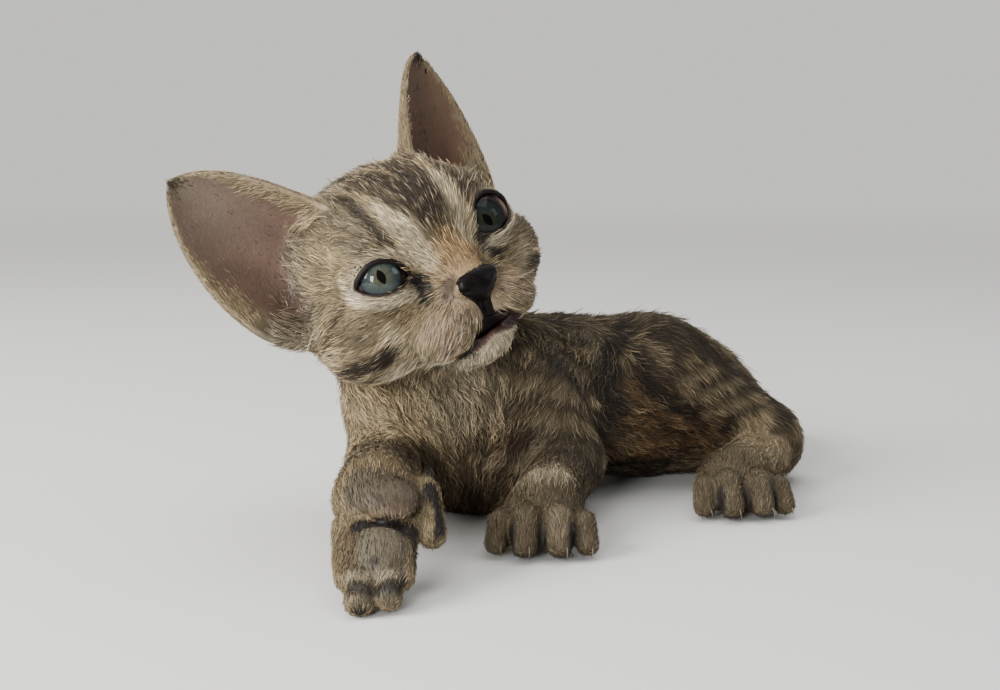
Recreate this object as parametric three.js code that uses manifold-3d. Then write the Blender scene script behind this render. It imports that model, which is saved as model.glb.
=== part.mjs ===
// A life-size kitten of a curly-coated, large-eared breed, lying on its chest and one hip with its head
// turned and tilted and one forepaw stretched out, its sole towards the viewer.
// Millimetres. +X is to the right as the viewer sees it, -Y is towards the viewer, +Z is up.
// Its form is one smooth field of rounded shapes, which is meshed, thinned and parted into named pieces.
import * as THREE from "three";
import { mergeVertices } from "three/addons/utils/BufferGeometryUtils.js";
import Module from "manifold-3d";

const wasm = await Module();
wasm.setup();

// Driving dimensions
const GAP = 0.3; // between neighbouring pieces
const MIDDLE = [4, 14.8]; // of the whole kitten in plan, which becomes the origin
const HEAD_AT = [-23.2, 0, 62.9]; // middle of the skull
const HEAD_TURN = 33; // degrees to its left
const HEAD_LIFT = -5.7; // nose up
const HEAD_TILT = -24.7; // ear towards its right shoulder
const HEAD_CELL = 0.95; // step of the grid that meshes the head
const EAR_CELL = 0.85;
const BODY_CELL = 1.3;
const HEAD_TRIANGLES = 4200;
const EAR_TRIANGLES = 900;
const BODY_TRIANGLES = 5600;
const EYE_RADIUS = 7.8;
const EYE_AT = [14.3, -13.4, 0.9]; // left eye, in the head's own axes
const EYE_OUTWARD = 15; // degrees that the lids' opening faces outward
const LID_RADIUS = 8.9;
const LID_WIDTH = 12.4;
// Height above and below the line between the corners, roundness at the inner corner, slant in degrees
const LIDS = {
  right: { above: 4.6, below: 2.3, inner: 0.5, slant: 13 },
  left: { above: 6, below: 2.9, inner: 0.9, slant: 8 },
};
const LID_DEPTH = 14; // of the cut that opens them
const NOSE_AT = [0, -30.5, -7.4]; // the leather is the part of the face within this block
const NOSE_SIZE = [5.8, 5.6, 4.4];
const NOSE_CELL = 0.45;
const NOSE_TRIANGLES = 460;
const EAR_BASE = [22.5, 2.5, 6.5];
const EAR_TIP = [35.8, 16, 37.5];
const EAR_FACING = [0.5, -0.86, 0.08]; // the way the cup opens
const EAR_HALF_WIDTH = 16.5; // where it is widest, across the opening
const EAR_WIDEST = 0.06; // share of the way from its base to its tip
const EAR_WRAP = [78, 40]; // degrees of cup to each side of its back, at the base and at the tip
const EAR_WALL = 1.9;
const EAR_STRAIGHTER = 0.22; // how much less its inner edge bulges
const EAR_ROOT = -0.3; // share of its length that is sunk in the skull
const FUR = "#8a7a66";
const CARE = 4; // weight of the face and paws in thinning, against the rest
const NECK_TOP = { at: [-21.3, 9.8, 44.4], facing: [-0.2, -0.39, 0.9], radius: 32 };
const NECK_FOOT = { at: [-19, 12, 36.5], facing: [-0.25, -0.39, 0.89], radius: 34 };

const radians = THREE.MathUtils.degToRad;
const vec = (a) => new THREE.Vector3(...a);

function frameOf(at, degrees, order = "ZXY") {
  const angles = new THREE.Euler(...degrees.map(radians), order);
  return new THREE.Matrix4().makeRotationFromEuler(angles).setPosition(...at);
}

// Joins distance a to distance b with a fillet of about k.
function blend(a, b, k) {
  const h = Math.max(k - Math.abs(a - b), 0) / k;
  return Math.min(a, b) - h * h * k * 0.25;
}

const carve = (a, b, k) => -blend(-a, b, k);

// Shapes: each gives the distance in mm to its surface, negative inside
function ball(at, radii, degrees = [0, 0, 0]) {
  const m = frameOf(at, degrees).invert().elements;
  const [rx, ry, rz] = radii;
  return (x, y, z) => {
    const a = (m[0] * x + m[4] * y + m[8] * z + m[12]) / rx;
    const b = (m[1] * x + m[5] * y + m[9] * z + m[13]) / ry;
    const c = (m[2] * x + m[6] * y + m[10] * z + m[14]) / rz;
    const near = Math.hypot(a, b, c);
    const slope = Math.hypot(a / rx, b / ry, c / rz);
    return slope > 1e-9 ? (near * (near - 1)) / slope : -Math.min(rx, ry, rz);
  };
}

function bone(from, to, r0, r1) {
  const [ax, ay, az] = from;
  const [dx, dy, dz] = to.map((v, i) => v - from[i]);
  const length2 = dx * dx + dy * dy + dz * dz;
  return (x, y, z) => {
    const px = x - ax;
    const py = y - ay;
    const pz = z - az;
    const t = Math.min(Math.max((px * dx + py * dy + pz * dz) / length2, 0), 1);
    return Math.hypot(px - t * dx, py - t * dy, pz - t * dz) - r0 - t * (r1 - r0);
  };
}

// Each part is a shape and the fillet with which it joins those before it.
const union = (parts) => (x, y, z) => {
  let d = 1e3;
  for (const [shape, k] of parts) {
    d = blend(d, shape(x, y, z), k);
  }
  return d;
};

function placed(frame, field) {
  const m = frame.clone().invert().elements;
  return (x, y, z) =>
    field(
      m[0] * x + m[4] * y + m[8] * z + m[12],
      m[1] * x + m[5] * y + m[9] * z + m[13],
      m[2] * x + m[6] * y + m[10] * z + m[14],
    );
}

const bothSides = (field) => (x, y, z) => field(Math.abs(x), y, z);

// Head, in its own axes: +x is its left, -y forward, +z up, from the middle of the skull
const headFrame = frameOf(HEAD_AT, [HEAD_LIFT, HEAD_TILT, HEAD_TURN]);

const skull = union([
  [ball([0, 3.5, 4.5], [22.5, 24, 17]), 1],
  [ball([0, -9, 8], [16, 12.5, 11]), 8], // forehead
  [bothSides(ball([15.6, -5, -10.4], [13.8, 15, 11.8])), 7], // cheeks
  [bothSides(ball([18.5, -10.5, -7], [8.4, 8, 6.8])), 5], // cheekbones
  [ball([0, -15.5, -10], [12.5, 11, 9.5]), 6], // muzzle
  [bone([0, -16, 2.5], [0, -25.8, -5.8], 6.5, 4.3), 5], // bridge of the nose
  [bothSides(ball([12.5, -13.5, 8.6], [8.5, 4.8, 4.2], [0, -12, 14])), 4], // brows
  [bothSides(ball(EYE_AT, [LID_RADIUS, LID_RADIUS, LID_RADIUS])), 2.5], // lids
  [ball([0, -11, -18.6], [12, 13, 8.4], [-14, 0, 0]), 4], // lower jaw
  [ball([0, -18.6, -22.2], [8.6, 6.6, 5], [-12, 0, 0]), 3], // chin
  [bothSides(ball([7.4, -21.4, -14.4], [9, 8, 6.8], [0, 16, 14])), 2], // whisker pads
  [ball([0, -27.4, -7.4], [4.4, 4.2, 3.6]), 1.6], // tip of the nose
  [bothSides(ball([3.3, -27.6, -6.8], [2.7, 3, 2.4])), 1], // its wings
]);

const mouth = union([
  [bothSides(bone([0, -30.4, -15], [6.8, -26.2, -20.1], 0.65, 0.6)), 0.5], // edge of the upper lips
  [bothSides(bone([0, -28.8, -16.9], [4.2, -27.4, -18.9], 1.3, 0.6)), 0.6],
  [ball([0, -23, -17.8], [5.4, 8, 1.3], [-8, 0, 0]), 1], // hollow between the jaws
  [bothSides(bone([6.8, -26.2, -20.1], [13, -22.3, -20.9], 0.65, 0.65)), 0.5], // line to the corners
  [bothSides(bone([13, -22.3, -20.9], [15.8, -17.6, -20.8], 0.65, 0.4)), 0.5],
]);
const lowerLip = bothSides(bone([0, -25.8, -19.8], [6.4, -23.6, -21.7], 1.35, 1.1));
const philtrum = bone([0, -31.2, -10.6], [0, -30.2, -15], 0.6, 0.8);
const nostrils = bothSides(bone([1.5, -32.8, -8.4], [4.9, -30.2, -7.4], 0.8, 0.9));

const face = (x, y, z) => {
  let d = skull(x, y, z);
  d = carve(d, mouth(x, y, z), 0.8);
  d = blend(d, lowerLip(x, y, z), 1);
  d = carve(d, philtrum(x, y, z), 0.5);
  return carve(d, nostrils(x, y, z), 0.4);
};

// The left ear is a cup: the wall of a tube that tapers to the tip, open along its front.
function earCup() {
  const axis = vec(EAR_TIP).sub(vec(EAR_BASE));
  const length = axis.length();
  axis.normalize();
  const across = axis.clone().cross(vec(EAR_FACING)).normalize();
  const facing = across.clone().cross(axis).normalize();
  return (x, y, z) => {
    const p = [x - EAR_BASE[0], y - EAR_BASE[1], z - EAR_BASE[2]];
    const outward = p[0] * across.x + p[1] * across.y + p[2] * across.z;
    const side = Math.abs(outward);
    const front = p[0] * facing.x + p[1] * facing.y + p[2] * facing.z;
    const along = p[0] * axis.x + p[1] * axis.y + p[2] * axis.z;
    const u = Math.min(Math.max(along / length, EAR_ROOT), 0.999);
    const grown = Math.max(u, 0);
    const wrap = radians(THREE.MathUtils.lerp(...EAR_WRAP, grown));
    const reach = u < EAR_WIDEST ? EAR_WIDEST + 0.5 : 1 - EAR_WIDEST;
    const inner = 1 - Math.tanh(outward / 6);
    const straighter = 1 - EAR_STRAIGHTER * grown * (1 - grown) * inner;
    const half = EAR_HALF_WIDTH * straighter * (1 - ((u - EAR_WIDEST) / reach) ** 2) ** 0.72;
    const radius = half / Math.sin(wrap);
    const depth = front - radius * Math.cos(wrap);
    const inPlane =
      Math.atan2(side, -depth) < wrap
        ? Math.hypot(side, depth) - radius
        : Math.hypot(side - half, front);
    return Math.hypot(inPlane, along - u * length) - EAR_WALL * (0.5 - 0.18 * grown);
  };
}
const ear = earCup();

// A standing paw, in its own axes: toes towards -y, sole down at z 0, x across
function paw({ width, reach, thick = 1 }) {
  const parts = [
    [ball([0, 5, 7 * thick], [width * 0.37, 9, 6.2 * thick]), 1],
    [ball([0, -reach * 0.3, 4], [width * 0.36, reach * 0.4, 3.8 * thick]), 2], // between the toes
  ];
  for (const [place, size, forward] of [
    [-0.385, 0.125, 0.76],
    [-0.155, 0.156, 1],
    [0.16, 0.156, 0.98],
    [0.385, 0.125, 0.76],
  ]) {
    const x = place * width;
    const r = size * width;
    const tip = [x, r - reach * forward, r];
    const knuckle = [x * 0.92, tip[1] * 0.48, (3.6 + r * 1.1) * thick];
    parts.push([bone([x * 0.6, 3, 7.4 * thick], knuckle, r * 0.9, r), 0.6]);
    parts.push([bone(knuckle, tip, r, r * 0.96), 0.4]);
  }
  parts.push([ball([0, 2.6, 1.9], [width * 0.25, 4.2, 2.9]), 0.8]); // main pad
  return union(parts);
}

// The outstretched paw, shown from below, in the same axes
const NEAR_TOES = [
  { base: [6.2, -3, 6.5], tip: [4.9, -17.5, 3.6], radius: 3.1 },
  { base: [2.6, -4, 6.5], tip: [2.4, -23.4, 3.4], radius: 3.4 },
  { base: [-2.8, -4, 6.5], tip: [-3.1, -22, 3.4], radius: 3.3 },
  { base: [-6.4, -3, 6.5], tip: [-5.9, -17.4, 3.6], radius: 2.9 },
];
const nearPaw = union([
  [ball([0.3, 4.5, 7.5], [9.2, 8.5, 7]), 1],
  [ball([-2.8, 0.6, 2], [6.6, 5.6, 3.4]), 1.2], // main pad
  [ball([0.2, -11.5, 5.4], [8, 8.8, 5]), 1.5],
  [ball([-1.6, -12, 2.6], [6.2, 6.3, 3.6]), 1.2], // pads of the toes
  ...NEAR_TOES.map(({ base, tip, radius }) => [bone(base, tip, radius, radius), 1.3]),
  [bone([-9.8, 7, 8], [-11.6, -4.6, 6.8], 4, 3.4), 1.5], // thumb
]);

// Frame of a paw whose sole faces `sole` and whose toes point along `toes`.
function pawFrame(at, toes, sole) {
  const y = vec(toes).negate().normalize();
  const z = vec(sole).negate();
  z.addScaledVector(y, -z.dot(y)).normalize();
  return new THREE.Matrix4().makeBasis(y.clone().cross(z), y, z).setPosition(...at);
}

const DOWN = [0, 0, -1];
const rightPaw = pawFrame([-25.2, -51, 19.3], [0.03, -0.79, -0.605], [0.05, -0.6, 0.79]);
const leftPaw = pawFrame([9.2, -24, 0], [-0.04, -1, 0], DOWN);
const leftHind = pawFrame([57.6, 8.2, 0], [0.1, -0.99, 0], DOWN);
const rightHind = pawFrame([47, 42, 5.5], [-0.95, -0.3, -0.05], [0.2, -0.9, -0.35]);

const SPINE_TURN = [0, 0, 36];
const torso = [
  [ball([-8, 17.5, 26], [21.5, 22.5, 24.5]), 1], // chest
  [ball([14, 31, 24], [24, 20.5, 21.5], SPINE_TURN), 10],
  [ball([37, 45, 23], [24, 19, 21], SPINE_TURN), 10], // loin
  [ball([56, 57, 14.5], [17.5, 16, 15.5], SPINE_TURN), 10], // hips
  [bone([-12, 15, 33], [-27, 10, 47], 18, 17), 8], // neck
  [ball([-5, 12.5, 11], [16, 13.5, 12.2]), 8], // breast, down to the floor
];
const legs = [
  [ball([-26, 14, 27], [12.5, 13.5, 14]), 6], // right shoulder
  [bone([-26, 12, 25], [-27.5, 3, 14.5], 11.5, 9), 4],
  [bone([-27.5, 3, 14], [-26, -38, 17.2], 8.8, 8.5), 3],
  [placed(rightPaw, nearPaw), 3],
  [ball([5, 14.5, 29], [13, 13.5, 15]), 6], // left shoulder
  [bone([8, 13, 26], [16, 8, 13.5], 12, 9), 4],
  [bone([16, 7, 12.5], [10.6, -15, 9.6], 8.8, 7.8), 3],
  [placed(leftPaw, paw({ width: 25.6, reach: 12.4 })), 3],
  [bone([51, 50, 20], [42, 38.5, 29.5], 15, 12), 7], // left thigh
  [bone([41.5, 37.5, 29.5], [71, 41, 12.5], 12, 8.4), 4],
  [bone([72.5, 42, 8.5], [59, 15.5, 8], 7.6, 7.4), 3],
  [placed(leftHind, paw({ width: 25.4, reach: 12.6 })), 3],
  [bone([50, 58, 15], [34, 47, 10], 14, 10), 5], // right thigh, under the body
  [bone([34, 47, 9], [58, 48, 8], 8, 7), 3],
  [placed(rightHind, paw({ width: 17, reach: 12, thick: 0.8 })), 2],
];

const TAIL = [
  { at: [70, 69, 12], radius: 8 },
  { at: [75, 82, 7.5], radius: 6.6 },
  { at: [64, 93, 6], radius: 5.8 },
  { at: [46, 95, 5.4], radius: 5.2 },
  { at: [28, 89, 5], radius: 4.7 },
  { at: [13, 78, 4.4], radius: 4.1 },
  { at: [1, 66, 3.9], radius: 3.4 },
];
const tail = TAIL.slice(1).map((to, i) => [
  bone(TAIL[i].at, to.at, TAIL[i].radius, to.radius),
  i === 0 ? 4 : 1.5,
]);

const body = union([...torso, ...legs, ...tail]);
const bareHead = placed(headFrame, face);
const NECK_FILLET = 7;
const bald = (x, y, z) => blend(bareHead(x, y, z), body(x, y, z), NECK_FILLET);

// Meshing by marching tetrahedra, six to each cube of the grid
const CORNERS = [0, 1, 2, 3, 4, 5, 6, 7].map((m) => vec([m & 1, (m >> 1) & 1, (m >> 2) & 1]));
const TETRAHEDRA = [
  [0, 1, 3, 7],
  [0, 1, 5, 7],
  [0, 2, 3, 7],
  [0, 2, 6, 7],
  [0, 4, 5, 7],
  [0, 4, 6, 7],
];

// Triangles of the surface in one tetrahedron, each as three pairs of corners, facing outward.
function facets(corners, insideBits) {
  const ins = corners.filter((_, i) => (insideBits >> i) & 1);
  const outs = corners.filter((_, i) => !((insideBits >> i) & 1));
  if (!ins.length || !outs.length) {
    return [];
  }
  const [a, b] = ins;
  const [c, d] = outs;
  const ring =
    ins.length === 2
      ? [[a, c], [a, d], [b, d], [b, c]]
      : ins.flatMap((p) => outs.map((q) => [p, q]));
  const [p, q, r] = ring.map(([m, n]) => CORNERS[m].clone().add(CORNERS[n]));
  const normal = q.sub(p).cross(r.sub(p));
  if (normal.dot(CORNERS[outs[0]].clone().sub(CORNERS[ins[0]])) < 0) {
    ring.reverse();
  }
  const fan = [[ring[0], ring[1], ring[2]]];
  return ring.length === 4 ? [...fan, [ring[0], ring[2], ring[3]]] : fan;
}
const FACETS = TETRAHEDRA.map((corners) => [...Array(16).keys()].map((bits) => facets(corners, bits)));
const BLOCK = 5; // cells across a block that is skipped where it is far from the surface

// Values of the field on the grid: exact near its surface, and elsewhere of the right sign only.
function gridValues(field, low, [nx, ny, nz], cell) {
  const values = new Float32Array(nx * ny * nz);
  const reach = (BLOCK * 0.9 + 2) * cell;
  const at = (i, j, k) => field(low[0] + i * cell, low[1] + j * cell, low[2] + k * cell);
  const half = (BLOCK - 1) / 2;
  for (let k0 = 0; k0 < nz; k0 += BLOCK) {
    for (let j0 = 0; j0 < ny; j0 += BLOCK) {
      for (let i0 = 0; i0 < nx; i0 += BLOCK) {
        const middle = at(i0 + half, j0 + half, k0 + half);
        for (let k = k0; k < Math.min(k0 + BLOCK, nz); k++) {
          for (let j = j0; j < Math.min(j0 + BLOCK, ny); j++) {
            for (let i = i0; i < Math.min(i0 + BLOCK, nx); i++) {
              const edge = i * j * k === 0 || i === nx - 1 || j === ny - 1 || k === nz - 1;
              const near = Math.abs(middle) < reach ? at(i, j, k) : middle;
              values[(k * ny + j) * nx + i] = edge ? Math.max(near, cell) : near;
            }
          }
        }
      }
    }
  }
  return values;
}

function surfaceOf(field, [low, high], cell) {
  const size = low.map((v, i) => Math.ceil((high[i] - v) / cell) + 1);
  const [nx, ny, nz] = size;
  const values = gridValues(field, low, size, cell);
  const steps = CORNERS.map(({ x, y, z }) => x + y * nx + z * nx * ny);
  const points = [];
  const triangles = [];
  const known = new Map();
  const spot = (n) => [n % nx, Math.floor(n / nx) % ny, Math.floor(n / (nx * ny))];
  const crossing = (base, [m, n]) => {
    const from = Math.min(m, n);
    const a = base + steps[from];
    const key = a * 8 + (m ^ n);
    if (!known.has(key)) {
      const b = base + steps[Math.max(m, n)];
      const t = THREE.MathUtils.clamp(values[a] / (values[a] - values[b]), 0.04, 0.96);
      const p = spot(a);
      const q = spot(b);
      known.set(key, points.length);
      points.push(vec(p.map((v, i) => low[i] + cell * (v + t * (q[i] - v)))));
    }
    return known.get(key);
  };
  for (let k = 0; k < nz - 1; k++) {
    for (let j = 0; j < ny - 1; j++) {
      for (let i = 0; i < nx - 1; i++) {
        const base = (k * ny + j) * nx + i;
        let inside = 0;
        for (let m = 0; m < 8; m++) {
          inside |= (values[base + steps[m]] < 0) << m;
        }
        if (inside === 0 || inside === 255) {
          continue;
        }
        TETRAHEDRA.forEach((corners, t) => {
          const bits = corners.reduce((sum, m, place) => sum | (((inside >> m) & 1) << place), 0);
          for (const facet of FACETS[t][bits]) {
            triangles.push(facet.map((pair) => crossing(base, pair)));
          }
        });
      }
    }
  }
  return { points, triangles };
}

// Thinning by joining the ends of edges, where that moves the surface least
class Heap {
  items = [];
  push(item) {
    const { items } = this;
    let i = items.push(item) - 1;
    while (i > 0 && items[(i - 1) >> 1].cost > item.cost) {
      items[i] = items[(i - 1) >> 1];
      i = (i - 1) >> 1;
    }
    items[i] = item;
  }
  pop() {
    const { items } = this;
    const top = items[0];
    const last = items.pop();
    if (items.length) {
      let i = 0;
      for (let child = 1; child < items.length; child = 2 * i + 1) {
        if (child + 1 < items.length && items[child + 1].cost < items[child].cost) {
          child++;
        }
        if (items[child].cost >= last.cost) {
          break;
        }
        items[i] = items[child];
        i = child;
      }
      items[i] = last;
    }
    return top;
  }
}

// The squared distance to a plane, as the ten coefficients of a quadratic.
function planeQuadric({ x, y, z }, d, weight) {
  return [x * x, x * y, x * z, x * d, y * y, y * z, y * d, z * z, z * d, d * d].map((v) => v * weight);
}

function quadricAt(q, { x, y, z }) {
  return (
    x * (q[0] * x + 2 * (q[1] * y + q[2] * z + q[3])) +
    y * (q[4] * y + 2 * (q[5] * z + q[6])) +
    z * (q[7] * z + 2 * q[8]) +
    q[9]
  );
}

function quadricLowest(q, fallback) {
  const m = new THREE.Matrix3().set(q[0], q[1], q[2], q[1], q[4], q[5], q[2], q[5], q[7]);
  if (Math.abs(m.determinant()) < 1e-7 * (q[0] + q[4] + q[7]) ** 3) {
    return fallback;
  }
  const best = new THREE.Vector3(-q[3], -q[6], -q[8]).applyMatrix3(m.invert());
  return best.distanceTo(fallback) < 4 ? best : fallback;
}

const SLIVER = 0.05; // least height of a triangle as a share of its longest side

// `care` says how much more than usual the surface matters at a point.
function thinned({ points, triangles }, target, care = () => 1) {
  const faces = triangles.map((t) => [...t]);
  const around = points.map(() => new Set());
  faces.forEach((face, n) => face.forEach((v) => around[v].add(n)));
  const quadrics = points.map(() => new Array(10).fill(0));
  const normalOf = (p, q, r) => q.clone().sub(p).cross(r.clone().sub(p));
  for (const face of faces) {
    const [p, q, r] = face.map((v) => points[v]);
    const normal = normalOf(p, q, r);
    const area = normal.length();
    normal.normalize();
    const plane = planeQuadric(normal, -normal.dot(p), area * care(p));
    face.forEach((v) => plane.forEach((value, i) => (quadrics[v][i] += value)));
  }
  const stamps = new Uint32Array(points.length);
  const heap = new Heap();
  const neighbours = (v) => {
    const found = new Set([...around[v]].flatMap((n) => faces[n]));
    found.delete(v);
    return found;
  };
  const offer = (a, b) => {
    const q = quadrics[a].map((value, i) => value + quadrics[b][i]);
    const middle = points[a].clone().lerp(points[b], 0.5);
    const spot = quadricLowest(q, middle);
    const cost = quadricAt(q, spot) + 1e-4 * points[a].distanceToSquared(points[b]);
    heap.push({ cost, a, b, spot, stamp: stamps[a] + stamps[b] });
  };
  const spoils = (v, other, spot) =>
    [...around[v]].some((n) => {
      if (faces[n].includes(other)) {
        return false;
      }
      const old = faces[n].map((w) => points[w]);
      const moved = faces[n].map((w) => (w === v ? spot : points[w]));
      const after = normalOf(...moved);
      const before = normalOf(...old);
      const longest = Math.max(...moved.map((p, i) => p.distanceTo(moved[(i + 1) % 3])));
      return (
        after.dot(before) < 0.3 * after.length() * before.length() ||
        after.length() < SLIVER * longest ** 2
      );
    });
  points.forEach((_, v) => neighbours(v).forEach((w) => v < w && offer(v, w)));
  let count = faces.length;
  while (count > target && heap.items.length) {
    const { a, b, spot, stamp } = heap.pop();
    if (stamps[a] + stamps[b] !== stamp || !around[a].size || !around[b].size) {
      continue;
    }
    const nearA = neighbours(a);
    const shared = [...neighbours(b)].filter((v) => nearA.has(v));
    if (!nearA.has(b) || shared.length !== 2 || spoils(a, b, spot) || spoils(b, a, spot)) {
      continue;
    }
    for (const n of [...around[b]]) {
      if (faces[n].includes(a)) {
        faces[n].forEach((v) => around[v].delete(n));
        count--;
      } else {
        faces[n] = faces[n].map((v) => (v === b ? a : v));
        around[a].add(n);
      }
    }
    around[b].clear();
    points[a] = spot;
    quadrics[a] = quadrics[a].map((value, i) => value + quadrics[b][i]);
    stamps[a] += 1;
    neighbours(a).forEach((v) => offer(a, v));
  }
  const kept = new Set([...around.keys()].flatMap((v) => [...around[v]]));
  return { points, triangles: [...kept].map((n) => faces[n]) };
}

// Solids: joining, cutting and parting
function solidFrom(positions, indices) {
  const mesh = new wasm.Mesh({
    numProp: 3,
    vertProperties: Float32Array.from(positions),
    triVerts: Uint32Array.from(indices),
  });
  return new wasm.Manifold(mesh);
}

function solidOf(geometry, frame = new THREE.Matrix4()) {
  const plain = geometry.clone();
  plain.deleteAttribute("normal");
  plain.deleteAttribute("uv");
  const merged = mergeVertices(plain.applyMatrix4(frame), 1e-4);
  const indices = merged.index.array;
  if (frame.determinant() < 0) {
    indices.reverse(); // a mirror turns each face round
  }
  return solidFrom(merged.attributes.position.array, indices);
}

function solidOfSurface({ points, triangles }) {
  const used = [...new Set(triangles.flat())];
  const place = new Map(used.map((v, i) => [v, i]));
  const positions = used.flatMap((v) => points[v].toArray());
  const indices = triangles.flatMap((t) => t.map((v) => place.get(v)));
  return solidFrom(positions, indices);
}

function geometryOf(solid) {
  const { vertProperties, triVerts, numProp, numVert } = solid.getMesh();
  const positions = new Float32Array(numVert * 3);
  for (let v = 0; v < numVert; v++) {
    positions.set(vertProperties.subarray(v * numProp, v * numProp + 3), v * 3);
  }
  const geometry = new THREE.BufferGeometry();
  geometry.setAttribute("position", new THREE.BufferAttribute(positions, 3));
  geometry.setIndex(new THREE.BufferAttribute(new Uint32Array(triVerts), 1));
  geometry.computeVertexNormals();
  return geometry;
}

// The same surface with every corner moved outward.
function swollen(solid, amount) {
  const geometry = geometryOf(solid);
  const { position, normal } = geometry.attributes;
  for (let v = 0; v < position.count; v++) {
    position.setXYZ(
      v,
      position.getX(v) + amount * normal.getX(v),
      position.getY(v) + amount * normal.getY(v),
      position.getZ(v) + amount * normal.getZ(v),
    );
  }
  return solidFrom(position.array, geometry.index.array);
}

const largest = (solid) => solid.decompose().sort((a, b) => b.volume() - a.volume())[0];

function centreOf(solid) {
  const geometry = geometryOf(solid);
  const { position } = geometry.attributes;
  const index = geometry.index.array;
  const centre = vec([0, 0, 0]);
  let total = 0;
  for (let i = 0; i < index.length; i += 3) {
    const [p, q, r] = [0, 1, 2].map((n) => new THREE.Vector3().fromBufferAttribute(position, index[i + n]));
    const volume = p.dot(q.clone().cross(r));
    centre.addScaledVector(p.add(q).add(r), volume / 4);
    total += volume;
  }
  return centre.divideScalar(total);
}

function disc({ at, facing, radius }) {
  const turn = new THREE.Quaternion().setFromUnitVectors(vec([0, 1, 0]), vec(facing).normalize());
  const frame = new THREE.Matrix4().compose(vec(at), turn, vec([1, 1, 1]));
  return solidOf(new THREE.CylinderGeometry(radius, radius, GAP, 20), frame);
}

function roundSolid(at, radii, frame = new THREE.Matrix4(), detail = 16) {
  const shape = new THREE.SphereGeometry(1, detail, detail * 0.7);
  const place = new THREE.Matrix4().makeScale(...radii).setPosition(...at);
  return solidOf(shape, frame.clone().multiply(place));
}

function shell(at, radii, frame) {
  const [outer, inner] = [0, GAP].map((less) => roundSolid(at, radii.map((r) => r - less), frame, 10));
  return outer.subtract(inner);
}

const floorTrim = solidOf(
  new THREE.BoxGeometry(400, 400, 200),
  new THREE.Matrix4().makeTranslation(0, 0, 100),
);

// Cuts the solid, and gives each named piece the part whose middle is nearest to its place.
function parted(solid, cuts, places) {
  const parts = cuts.reduce((rest, cut) => rest.subtract(cut), solid).decompose();
  const middles = parts.map(centreOf);
  return Object.fromEntries(
    Object.entries(places).map(([name, at]) => {
      const away = middles.map((middle) => middle.distanceTo(vec(at)));
      return [name, parts[away.indexOf(Math.min(...away))]];
    }),
  );
}

// Body, parted at its joints
const BODY_BOX = [[-54, -76, -3], [92, 106, 66]];
const BODY_CUTS = [
  disc(NECK_TOP),
  disc(NECK_FOOT),
  shell([-28, 11, 19], [14.5, 15.5, 15.5]), // right shoulder
  shell([10, 12, 21], [16, 15, 17.5]), // left shoulder
  disc({ at: [-27, -5, 15], facing: [0, -1, 0], radius: 14 }), // right elbow
  disc({ at: [13.4, -4, 11], facing: [0, -1, 0], radius: 14 }), // left elbow
  disc({ at: [-26, -32.5, 17], facing: [0.04, -1, 0.08], radius: 14 }), // right wrist
  disc({ at: [11, -15.5, 10], facing: [-0.2, -1, -0.1], radius: 14 }), // left wrist
  shell([46, 42, 27], [20, 18, 19]), // left hip
  shell([69.5, 32.5, 8], [15, 20.5, 12.5]), // left hock, as far as the foot
  shell([40, 39, 4], [11, 10, 9]), // right hind foot
  disc({ at: [74.5, 81, 8], facing: [0.15, 1, -0.3], radius: 11 }), // tail root
  disc({ at: [46, 95, 5.4], facing: [-1, 0, 0], radius: 8 }),
];
const BODY_NODES = {
  neck: [-18, 12, 42],
  torso: [20, 34, 24],
  upper_foreleg_right: [-27, 14, 24],
  upper_foreleg_left: [9, 12.5, 24],
  forearm_right: [-26, -14, 16],
  forearm_left: [13, -3, 11],
  forepaw_right: [-25, -50, 14],
  forepaw_left: [9, -25, 6],
  thigh_left: [46, 42, 30],
  shank_left: [71, 36, 10],
  hind_paw_left: [58, 7, 6],
  hind_paw_right: [40, 39, 6],
  tail_root: [64, 90, 6],
  tail_tip: [25, 85, 5],
};

const isPaw = ({ x, y, z }) => y < -10 || (z < 16 && x > 30 && y < 52);
const pawCare = (p) => (isPaw(p) ? CARE : 1);
const bodySurface = thinned(surfaceOf(bald, BODY_BOX, BODY_CELL), BODY_TRIANGLES, pawCare);
const bodyPieces = parted(solidOfSurface(bodySurface).intersect(floorTrim), BODY_CUTS, BODY_NODES);

// Head, with a socket and an almond of open lids for each eye
const HEAD_BOX = [[-60, -42, 26], [14, 38, 100]];
const worldToHead = headFrame.clone().invert();
const faceCare = (p) => (p.clone().applyMatrix4(worldToHead).y < -8 ? CARE : 1);
const headAndNeck = solidOfSurface(
  thinned(surfaceOf(bald, HEAD_BOX, HEAD_CELL), HEAD_TRIANGLES, faceCare),
);
const { head: wholeHead } = parted(headAndNeck, [disc(NECK_TOP)], { head: HEAD_AT });

const SIDES = { left: 1, right: -1 };
const mirror = (side) => new THREE.Matrix4().makeScale(side, 1, 1);

// Cuts the open lids of one side.
function lidOpening(name) {
  const { above, below, inner, slant } = LIDS[name];
  const half = LID_WIDTH / 2;
  const [top, bottom] = [above, -below].map((height) => height / 0.75); // a curve's middle is at 3/4
  const shape = new THREE.Shape();
  shape.moveTo(-half, 0);
  shape.bezierCurveTo(-half * inner, top, half * 0.6, top, half, 0);
  shape.bezierCurveTo(half * 0.6, bottom, -half * inner, bottom, -half, 0);
  const cut = new THREE.ExtrudeGeometry(shape, { depth: LID_DEPTH, curveSegments: 7, bevelEnabled: false });
  const turn = radians(EYE_OUTWARD);
  const out = vec([Math.sin(turn), -Math.cos(turn), 0.05]).normalize();
  const along = vec([Math.cos(turn), Math.sin(turn), Math.tan(radians(slant))]);
  along.addScaledVector(out, -along.dot(out)).normalize();
  const frame = new THREE.Matrix4().makeBasis(along, out.clone().cross(along), out).setPosition(...EYE_AT);
  return solidOf(cut, headFrame.clone().multiply(mirror(SIDES[name])).multiply(frame));
}

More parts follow.
